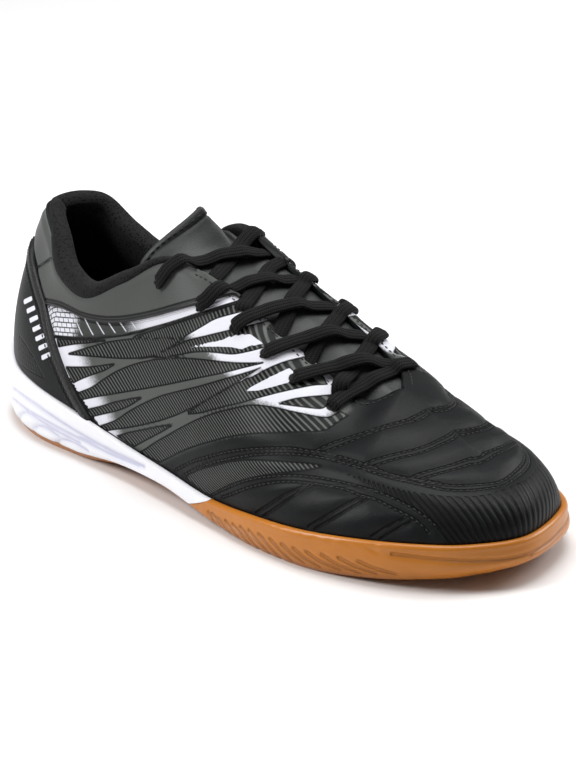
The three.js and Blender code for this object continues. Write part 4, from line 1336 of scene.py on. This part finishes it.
def tongue_row(section, shares):
    """Points from the lateral edge over the crown to the medial edge."""
    behind_lining = UPPER_WALL + GAP + LINING_PAD + TONGUE_GAP
    depth = mix(behind_lining, UPPER_WALL + TONGUE_GAP, smoothstep(6.2, 7, section))
    row = []
    for u in (section, RING - section):
        edge = skin(u, 1.0, -depth)
        crown = crown_point(np.array(section)) if section < THROAT_END else edge
        flap_end = skin(u, 1 - TONGUE_TUCK, -depth)
        arc = np.linalg.norm(crown - edge)
        flap = np.linalg.norm(edge - flap_end)
        split = arc / (arc + flap)
        drop = crown[2] - edge[2]
        laced = smoothstep(5.6, 7, section)
        near_crown = mix(crown, edge, 0.3) + (0, 0, 0.25 * laced * drop)
        near_edge = mix(edge, crown, 0.4 * laced) + (0, 0, mix(0.35, 0, laced) * drop)
        t = np.clip(shares / max(split, 1e-6), 0, 1)[:, None]
        curve = (crown * (1 - t) ** 3 + near_crown * 3 * (1 - t) ** 2 * t + near_edge * 3 * (1 - t) * t ** 2
                 + edge * t ** 3)
        tucked = 1 - TONGUE_TUCK * np.clip((shares - split) / (1 - split), 0, 1)
        row.append(np.where((shares >= split)[:, None], skin(u, tucked, -depth), curve))
    return np.vstack([row[0][::-1], row[1][1:]])


tongue_sections = np.concatenate([np.linspace(TONGUE_TOP, 6.4, 46), np.linspace(6.4, TONGUE_ROOT, 74)[1:]])
tongue_shares = np.linspace(0, 1, 38)
tongue_top = np.array([tongue_row(section, tongue_shares) for section in tongue_sections])
for _ in range(3):
    tongue_top[:, 1:-1] = (tongue_top[:, :-2] + 2 * tongue_top[:, 1:-1] + tongue_top[:, 2:]) / 4
tongue_normal = unit(np.cross(np.gradient(tongue_top, axis=0), np.gradient(tongue_top, axis=1)))
if tongue_normal[10, 37, 2] < 0:
    tongue_normal = -tongue_normal
from_top = np.cumsum(np.linalg.norm(np.diff(tongue_top, axis=0, prepend=tongue_top[:1]), axis=2), axis=0)
side_run = np.cumsum(np.linalg.norm(np.diff(tongue_top, axis=1, prepend=tongue_top[:, :1]), axis=2), axis=1)
from_side = np.minimum(side_run, side_run[:, -1:] - side_run)
border = np.minimum(from_top, from_side + 0.8)
TONGUE_EDGE = 1.7
rounding = TONGUE_EDGE * (1 - np.sqrt(np.clip(1 - (1 - np.clip(border / TONGUE_EDGE, 0, 1)) ** 2, 0, 1)))
PIPING_IN = 4.4
puff = 1.1 * smoothstep(PIPING_IN, 14, border)
puff = puff - 0.6 * bell(border - PIPING_IN, 0.8) + 0.25 * bell(border - 2.2, 1.4)
outer_skin = tongue_top + tongue_normal * (puff - rounding)[..., None]
inner_skin = tongue_top - tongue_normal * (TONGUE_WALL - 0.6 * rounding)[..., None]
tongue_points = np.vstack([outer_skin.reshape(-1, 3), inner_skin.reshape(-1, 3)])
tongue_columns, tongue_rows = tongue_top.shape[1], tongue_top.shape[0]
half = tongue_columns * tongue_rows
tongue_faces = grid_faces(tongue_columns, tongue_rows)
tongue_faces += [face[::-1] for face in grid_faces(tongue_columns, tongue_rows, start=half)]
rim_loop = ([(0, i) for i in range(tongue_columns)] + [(j, tongue_columns - 1) for j in range(1, tongue_rows)]
            + [(tongue_rows - 1, i) for i in range(tongue_columns - 2, -1, -1)]
            + [(j, 0) for j in range(tongue_rows - 2, 0, -1)])
rim_loop = [j * tongue_columns + i for j, i in rim_loop]
tongue_faces += [(a, a + half, b + half, b) for a, b in zip(rim_loop, rim_loop[1:] + rim_loop[:1])]

# Painted light: the tongue's tones are raised well above the upper's charcoal, standing in for the light on
# its upper part; the noise between them is the leather's own uneven tone
TONGUE_LIT_DARK = (0.022, 0.023, 0.024)
TONGUE_LIT_PALE = (0.042, 0.044, 0.044)
TONGUE_GROOVE_SHADE = (0.005, 0.005, 0.005)
TONGUE_INSIDE = (0.014, 0.014, 0.015)
tongue_leather = Shade("tongue_leather", 0.48, Specular_IOR_Level=0.3)
tongue_fine = tongue_leather.noise(0.35, 3.0)
# Painted shade in the groove along the tongue's piping
tongue_groove = abs(tongue_leather.attribute("border") - PIPING_IN).fade(0.1, 0.7)
tongue_base = tongue_leather.layers(
    tongue_leather.colour(tongue_leather.noise(11.0, 3.0), TONGUE_LIT_DARK, TONGUE_LIT_PALE),
    (tongue_groove * 0.8, TONGUE_GROOVE_SHADE), (tongue_leather.attribute("inner"), TONGUE_INSIDE))
tongue_height = tongue_fine * 0.05 + tongue_leather.cells(0.8) * 0.06
tongue_leather.finish(tongue_base, 0.42 + tongue_fine * 0.14, tongue_height)
tongue = make_piece("tongue_pad", tongue_points, tongue_faces, tongue_leather.material, replaces=("tongue",))
give(tongue, border=np.concatenate([border.ravel(), border.ravel()]),
     inner=np.concatenate([np.zeros(half), np.ones(half)]))
weld(tongue)
top_row = int(np.argmin(np.abs(from_top[:, 37] - 3.6)))
top_line = outer_skin[top_row, 2:-2]
tongue_thread = stitches(top_line, tongue_normal[top_row, 2:-2], radius=0.34, pitch=2.9, length=2.0)
tongue_stitches = make_piece("tongue_stitches", *merge(tongue_thread), thread.material)

# Laces. Each run stands on the upright plane through the two holes that it joins, where the
# photograph's line of sight meets it, and is pushed clear of what it lies on.
LACE_ARCHES = [
    [(163, 283.7), (172, 277), (181.5, 271.5), (199.7, 264.6), (223, 258), (247.8, 253.5),
     (264.4, 254.7)],
    [(200.7, 307.1), (209, 300.5), (220.6, 293.4), (243.6, 285.7), (266.5, 281.1), (284.9, 282.7),
     (295.6, 287.2)],
    [(231.3, 330.1), (240, 323), (251.2, 316.3), (274.2, 307.1), (297.1, 304.1), (320.1, 308.7),
     (335.4, 316.3)],
    [(263.5, 359.2), (272, 352), (281.8, 345.4), (304.8, 337.8), (327.8, 334.7), (350.7, 336.2),
     (364.5, 342.3)],
    [(291, 382.9), (301, 377), (312.5, 371.4), (343.1, 365.3), (373.7, 363.8), (396.6, 366.8)]]
LACE_STRAPS = [
    [(268, 236), (261.5, 230), (250.5, 239), (241, 247.5), (230, 262), (223, 273)],
    [(296, 268), (288, 258.2), (277.3, 268.9), (266.5, 279.6), (255.8, 294.9), (242, 305.6)],
    [(322, 290), (309.4, 278.1), (297.1, 291.8), (289.5, 304.1), (288, 319.4), (281.8, 330.1)],
    [(360, 318), (350.7, 308.7), (340, 320.9), (329.3, 333.2), (320.1, 346.9), (312, 358)],
    [(388, 343), (379.8, 336.2), (370.6, 346.9), (359.9, 360.7), (350.7, 373), (340, 383)]]
LACE_BAR = [(329.3, 409.7), (343.1, 395.9), (366, 383.7), (389, 373), (410.4, 365.3), (418, 368.4)]


def hole_at_pair(i, medial):
    u = RING - EYELETS["medial"][i] if medial else EYELETS["lateral"][i]
    level = EYELETS["medial_level"][i] if medial else EYELETS["lateral_level"][i]
    return u, level


def in_plane(pixel, a, b):
    direction = sight_line(pixel)
    across_plane = np.cross(b - a, (0, 0, 1.0))
    return EYE + direction * (((a - EYE) @ across_plane) / (direction @ across_plane))


def tree_of(points, faces):
    return BVHTree.FromPolygons([tuple(p) for p in points], [tuple(face) for face in faces])


outer_faces = [face for face in upper_faces if max(face) < columns * (first_edge + 2)]
lateral_faces = [face for face in outer_faces if face[0] % columns < len(sections)]
medial_faces = [face for face in outer_faces if face[0] % columns >= len(sections)]
lateral_tree = tree_of(upper_points, lateral_faces)
medial_tree = tree_of(upper_points, medial_faces)
tongue_tree = tree_of(tongue_points[:half], grid_faces(tongue_columns, tongue_rows))
up_guess = np.array([0.15, 0.0, 1.0])


def lie_above(point, tree, reach):
    """Height over a surface and its outward normal there, where the surface is under the point."""
    location, normal, _, _ = tree.find_nearest(Vector(point))
    location, normal = np.array(location), np.array(normal)
    if normal[2] < 0:
        normal = -normal
    away = point - location
    height = away @ normal
    beside = np.linalg.norm(away - height * normal)
    return (height, normal) if beside < reach and height > -12 else (None, normal)


def settle(path, trees, clearance, free_ends, over=None):
    """Push a path clear of what it lies on, and give the normals of its flat side."""
    for _ in range(6):
        needed = np.full(len(path), clearance)
        if over is not None:
            away = np.linalg.norm(path[:, None] - over[None], axis=2).min(1)
            needed = clearance + (LACE_THICKNESS + 0.2) * smoothstep(7.5, 3.5, away)
        normals = []
        for i, point in enumerate(path):
            kept = None
            for tree in trees:
                height, normal = lie_above(point, tree, 2.2)
                if height is None:
                    continue
                if kept is None or height < kept[0]:
                    kept = (height, normal)
            if kept is None:
                normals.append(up_guess)
                continue
            normals.append(kept[1])
            if free_ends[0] <= i < len(path) - free_ends[1] and kept[0] < needed[i]:
                path[i] = point + kept[1] * (needed[i] - kept[0])
        path = smoothed(path, 2)
    return path, unit(smoothed(np.array(normals) + 0.35 * up_guess, 12))


LACE_SIDES = 16
lace_angle = np.arange(LACE_SIDES) * 2 * np.pi / LACE_SIDES
lace_across = np.sign(np.cos(lace_angle)) * np.abs(np.cos(lace_angle)) ** 0.8
lace_up = np.sign(np.sin(lace_angle)) * np.abs(np.sin(lace_angle)) ** 0.8


def lace_run(name, path, normals, node=()):
    tangent = unit(np.gradient(path, axis=0))
    side = unit(np.cross(tangent, normals))
    up = unit(np.cross(side, tangent))
    rings = (path[:, None] + side[:, None] * (lace_across * LACE_WIDTH / 2)[None, :, None]
             + up[:, None] * (lace_up * LACE_THICKNESS / 2)[None, :, None])
    faces = tube_faces(LACE_SIDES, len(path))
    piece = make_piece(name, rings.reshape(-1, 3), faces, lace_cloth.material, replaces=node)
    give(piece, run=np.repeat(run_of(path), LACE_SIDES),
         across=np.tile(lace_across * LACE_WIDTH / 2, len(path)))
    weld(piece)


LACE_DARK = (0.0012, 0.0012, 0.0012)
LACE_PALE = (0.008, 0.008, 0.0076)
lace_cloth = Shade("lace_cloth", 0.8, Specular_IOR_Level=0.15, Sheen_Weight=0.02, Sheen_Roughness=0.5)
lace_off = abs(lace_cloth.attribute("across"))
braid_ridge = (lace_cloth.attribute("run") + lace_off * 0.6).wave(0.9).step(-0.8, 0.8)
rows_across = lace_off.wave(1.6).step(-0.9, 0.0)
lace_tone = lace_cloth.colour(braid_ridge * (0.4 + rows_across * 0.6), LACE_DARK, LACE_PALE)
lace_cloth.finish(lace_tone, None, braid_ridge * 0.1 + rows_across * 0.3 + lace_cloth.noise(0.25, 2.0) * 0.08)

LACE_CLEAR = LACE_THICKNESS / 2 + 0.15


def lace_path(pixels, start_hole, end_hole, start_medial, under_end):
    """From a hole up through the flap and over the throat to the flap on the other side."""
    u, level = hole_at_pair(start_hole, start_medial)
    v, end_level = hole_at_pair(end_hole, not start_medial)
    a, b = skin(u, level), skin(v, end_level)
    path = [in_plane(pixel, a, b) for pixel in pixels]
    path[0] = skin(u, level, LACE_CLEAR + 0.1)
    below = [skin(u, level, -UPPER_WALL - 1.2), skin(u, level, -0.4)]
    if under_end:
        rim_level = mix(end_level, 1.0, 0.55)
        path += [skin(v, rim_level, -UPPER_WALL - 1.0)]
    else:
        path[-1] = skin(v, end_level, LACE_CLEAR + 0.1)
        path += [skin(v, end_level, -0.4), skin(v, end_level, -UPPER_WALL - 1.2)]
    return even_points(np.array(below + path), 70)


for k in range(5):
    strap = lace_path(LACE_STRAPS[k], k, k + 1, True, True)
    strap, normals = settle(strap, (medial_tree, tongue_tree), LACE_CLEAR, (6, 4))
    lace_run(f"lace_strap_{k + 1}", strap, normals)
    arch = lace_path(LACE_ARCHES[k], k, k + 1, False, True)
    arch, normals = settle(arch, (lateral_tree, tongue_tree), LACE_CLEAR, (6, 4), strap[6:-4])
    lace_run(f"lace_arch_{k + 1}", arch, normals, (f"lace_crossing_{k + 1}",))
path = lace_path(LACE_BAR, 5, 5, False, False)
path, normals = settle(path, (lateral_tree, medial_tree, tongue_tree), LACE_CLEAR, (6, 6))
lace_run("lace_low_bar", path, normals, ("lace_bar",))

# Sole. A slice of the cup between two heights is a closed loop at each section.
RUBBER_RISES = 0.535
RUBBER_AT_RIM = 0.575
SOLE_STEP = 1.25
LINE_REACH = 6.0


def gum_top(u):
    along = ring_value(outline_x, u) / SOLE_LENGTH
    rim = rim_height(u)
    low = ground_height(u) + OUTSOLE_WALL
    share = (along - RUBBER_RISES) / (RUBBER_AT_RIM - RUBBER_RISES)
    return np.where(share <= 0, low, np.where(share >= 1, rim, mix(low, rim, np.clip(share, 0, 1))))


def sole_slice(sections, low, high, bed, wall_count, across_count, lines, relief, underside=None):
    """Points and faces, and for each point its distance to the wall's lines and whether it is below."""
    def going_up(u):
        ground, rim = ground_height(u), rim_height(u)
        bottom, top = low(u), high(u)
        rows_up, aways = [], []
        for share in np.linspace(0, 1, wall_count):
            level = (mix(bottom, top, share) - ground) / (rim - ground)
            away = near_lines(wall_point(section_of(u), level), lines)
            rows_up.append(wall_point(u, level, relief(u, level, away)))
            aways.append(away)
        at_rim = np.clip(1 - (rim - top) / 0.5, 0, 1)
        top_level = np.clip((top - ground) / (rim - ground), 0, 1)
        inner = np.maximum(RIM_INSET + RIM_LIP, wall_inset(u, top_level) + 1.0)
        start = wall_inset(u, top_level)
        for share, rise in ((0.2, 0.3), (0.5, 0.42), (0.8, 0.3), (1.0, 0.0)):
            rows_up.append(outline_point(u, mix(start, inner, share), top + rise * at_rim))
        floor_height = np.minimum(bed(u), top)
        rows_up.append(outline_point(u, inner, mix(top, floor_height, 0.5)))
        rows_up.append(outline_point(u, inner, floor_height))
        return rows_up, aways + [np.full(len(u), FAR)] * (len(rows_up) - len(aways))

    lateral, away = going_up(sections)
    medial, _ = going_up(RING - sections)
    bottom_rows = []
    for share in np.linspace(0, 1, across_count)[1:-1]:
        row = mix(lateral[0], medial[0], share)
        bottom_rows.append(underside(row, lateral[0], medial[0]) if underside else row)
    rows_all = lateral[::-1] + bottom_rows + medial
    below = [np.full(len(sections), FAR)] * len(bottom_rows)
    marks_away = np.concatenate(away[::-1] + below + away)
    under = np.zeros(len(rows_all))
    under[len(lateral):len(lateral) + len(bottom_rows)] = 1
    faces = grid_faces(len(sections), len(rows_all), wrap_rows=True)
    last = len(sections) - 1
    faces.append(tuple(j * len(sections) + last for j in range(len(rows_all))))
    return np.vstack(rows_all), faces, marks_away, np.repeat(under, len(sections))


def sole_places(last):
    fine = np.linspace(0, last, 2500)
    run = run_of(outline_point(fine, RIM_INSET, 0.0))
    return np.interp(np.linspace(0, run[-1], int(run[-1] / SOLE_STEP)), run, fine)


# Lines on the sole's wall, read off the photograph
SOLE_SIDE = (180, 470, 7.127)
HEEL_SIDE = (5, 380, 7.467)
SIDE_RIBS = [
    [(203, 298), (228, 338), (256, 385)], [(232, 312), (262, 355), (303, 408)],
    [(275, 345), (308, 390), (352, 440)], [(325, 362), (368, 420), (425, 482)],
    [(376, 386), (430, 450), (500, 525)], [(430, 405), (490, 480), (572, 568)],
    [(490, 430), (555, 505), (650, 600)], [(560, 455), (630, 535), (725, 632)],
    [(640, 490), (710, 565), (805, 652)], [(722, 525), (800, 597), (890, 662)],
    [(806, 555), (890, 625), (1000, 690)], [(900, 580), (1000, 650), (1150, 715)],
    [(1010, 602), (1120, 670), (1285, 735)], [(1130, 625), (1260, 690), (1400, 737)],
    [(1270, 650), (1400, 705), (1545, 742)]]
FOAM_CREASES = [
    [(60, 60), (200, 160), (400, 300), (560, 400), (700, 480), (860, 570), (1000, 630)],
    [(55, 135), (180, 230), (330, 320), (480, 400), (620, 470), (800, 560), (1000, 642)],
    [(108, 270), (150, 240), (205, 262), (300, 330), (420, 400), (560, 470)],
    [(215, 360), (262, 342), (330, 372), (400, 420)],
    [(392, 462), (425, 442), (520, 470), (620, 530)],
    [(560, 432), (700, 482), (860, 562), (1040, 650)]]


def wall_lines(view, lines):
    return [trace_wall(dense(seen_in(view, line), 1.0)) for line in lines]


GUM_LINE = [(392, 554), (420, 557.5), (450, 560), (480, 560.5), (510, 558), (543, 550)]
gum_traced = wall_lines(SOLE_SIDE, SIDE_RIBS) + wall_lines(FULL, [GUM_LINE])
rib_lines = [wall_point(places[:, 0], places[:, 1]) for places in gum_traced]
crease_lines = [wall_point(places[:, 0], places[:, 1]) for places in wall_lines(HEEL_SIDE, FOAM_CREASES)]


def near_lines(points, lines):
    best = np.full(len(points), LINE_REACH)
    for line in lines:
        close = ((points > line.min(0) - LINE_REACH) & (points < line.max(0) + LINE_REACH)).all(1)
        if close.any():
            away = np.linalg.norm(points[close][:, None] - line[None], axis=2).min(1)
            best[close] = np.minimum(best[close], away)
    return best


def gum_relief(u, level, away):
    lip = 0.35 * bell(level - 0.93, 0.08) * (rim_height(u) - gum_top(u) < 1)
    return 0.3 * (1 - bell(away, 1.1)) * (away < LINE_REACH - 0.1) - 0.1 * bell(away, 0.7) + lip


def foam_relief(u, level, away):
    return 0.6 * (1 - bell(away, 2.0)) - 0.4 * bell(away, 0.8)


TREAD_SHARES = [0.06, 0.11, 0.16, 0.21, 0.26, 0.60, 0.65, 0.85, 0.895, 0.94]
PIVOT_SHARE = 0.745


def tread(row, lateral_row, medial_row):
    x, y = row[:, 0], row[:, 1]
    depth = np.zeros(len(x))
    for share in TREAD_SHARES:
        depth = np.maximum(depth, 1 - smoothstep(0.8, 1.4, np.abs(x - share * SOLE_LENGTH)))
    from_pivot = np.hypot(x - PIVOT_SHARE * SOLE_LENGTH, y)
    depth = np.maximum(depth, 1 - smoothstep(0.8, 1.4, np.abs(from_pivot - PIVOT_RADIUS + TREAD_WIDTH / 2)))
    to_edge = np.minimum(np.abs(y - lateral_row[:, 1]), np.abs(y - medial_row[:, 1]))
    out = row.copy()
    out[:, 2] += TREAD_DEPTH * depth * smoothstep(1.0, 3.0, to_edge)
    return out


gum_points, gum_faces, gum_away, gum_under = sole_slice(
    sole_places(TOE), ground_height, gum_top, bed_height, 22, 56, rib_lines, gum_relief, tread)
GUM_AMBER = (0.45, 0.15, 0.014)
GUM_PALE = (0.54, 0.188, 0.02)
GUM_LOW = (0.33, 0.115, 0.02)
GUM_GROOVE_SHADE = (0.26, 0.085, 0.01)
HERRING_WIDTH = 12.0
HERRING_PITCH = 2.6
gum = Shade("gum_rubber", 0.32, Specular_IOR_Level=0.35, Coat_Weight=0.12, Coat_Roughness=0.2)
gum_fine = gum.noise(0.5, 2.0)
gum_x, gum_y, gum_z = gum.axes()
gum_low = (gum_z * 1000.0).fade(0.0, 9.0)
# Painted shade: the gum wall is darkened in the grooves along its slanting rib lines
gum_groove = gum.attribute("away").fade(0.25, 1.0)
gum_base = gum.layers(gum.colour(gum.noise(16.0, 3.0), GUM_AMBER, GUM_PALE),
                      (gum_low * 0.55, GUM_LOW), (gum_groove * 0.5, GUM_GROOVE_SHADE))
herring = abs((gum_y * (1000 / HERRING_WIDTH)).fraction() - 0.5)
herring_line = (gum_x * 1000.0 + herring * 9.0).wave(HERRING_PITCH)
herring_step = herring_line.step(-0.2, 0.4) * gum.attribute("under")
gum.finish(gum_base, 0.28 + gum_fine * 0.12, gum_fine * 0.04 + herring_step * 0.5 + gum_groove * -0.5)
gum_sole = make_piece("gum_cup", gum_points, gum_faces, gum.material, replaces=("outsole",))
give(gum_sole, under=gum_under, away=gum_away)
weld(gum_sole)

foam_end = float(np.interp(RUBBER_AT_RIM * SOLE_LENGTH, outline_x[:TOE + 1], np.arange(TOE + 1)))


def foam_low(u):
    return np.minimum(gum_top(u) + GAP * 0.2, rim_height(u))


foam_points, foam_faces, foam_away, _ = sole_slice(
    sole_places(foam_end), foam_low, rim_height, bed_height, 26, 12, crease_lines, foam_relief)
FOAM_WHITE = (0.80, 0.80, 0.84)
FOAM_BRIGHT = (0.86, 0.86, 0.89)
FOAM_CREASE_SHADE = (0.50, 0.50, 0.66)
foam = Shade("foam_skin", 0.42)
foam_fine = foam.noise(0.3, 2.0)
at_crease = foam.attribute("away")
# Painted shade: a lilac shade laid in and beside the foam's creases
foam_shadow = most(at_crease.step(0.0, 2.2, 0.4, 0.0), at_crease.fade(0.3, 0.9) * 0.8)
foam_base = foam.layers(foam.colour(foam.noise(7.0, 3.0), FOAM_WHITE, FOAM_BRIGHT), (foam_shadow, FOAM_CREASE_SHADE))
foam.finish(foam_base, 0.38 + foam_fine * 0.12, foam_fine * 0.03)
foam_wedge = make_piece("foam_wedge", foam_points, foam_faces, foam.material, replaces=("midsole",))
give(foam_wedge, away=foam_away)
weld(foam_wedge)

# Light and floor. A light has its place, what it points at, its width, its height and its watts.
WORLD_STRENGTH = 0.14
LIGHTS = {
    "top_light": ((-0.1, 0.25, 1.4), (0.0, 0.0, 0.0), 1.1, 1.1, 21.0),
    "left_light": ((-0.55, -0.85, 0.8), (0.0, 0.0, 0.05), 0.5, 0.5, 11.0),
    "back_light": ((0.3, 1.1, 0.7), (0.0, 0.0, 0.05), 0.9, 0.5, 9.0)}
world = bpy.data.worlds.new("studio")
bpy.context.scene.world = world
world.use_nodes = True
world.node_tree.nodes["Background"].inputs[0].default_value = (1.0, 1.0, 1.0, 1.0)
world.node_tree.nodes["Background"].inputs[1].default_value = WORLD_STRENGTH
bpy.context.scene.view_settings.view_transform = "Standard"


def add_light(name, place, target, width, height, power):
    data = bpy.data.lights.new(name, "AREA")
    data.shape = "RECTANGLE"
    data.size = width
    data.size_y = height
    data.energy = power
    light = bpy.data.objects.new(name, data)
    bpy.context.scene.collection.objects.link(light)
    light.location = place
    light.rotation_euler = (Vector(target) - Vector(place)).to_track_quat("-Z", "Y").to_euler()


for name, settings in LIGHTS.items():
    add_light(name, *settings)

FLOOR_GREY = (0.86, 0.86, 0.86)
floor_shade = Shade("studio_floor", 0.6)
floor_shade.finish(FLOOR_GREY)
floor_mesh = bpy.data.meshes.new("floor")
floor_mesh.from_pydata([(-3, -3, 0), (3, -3, 0), (3, 3, 0), (-3, 3, 0)], [], [(0, 1, 2, 3)])
floor_mesh.materials.append(floor_shade.material)
floor = bpy.data.objects.new("floor", floor_mesh)
bpy.context.scene.collection.objects.link(floor)
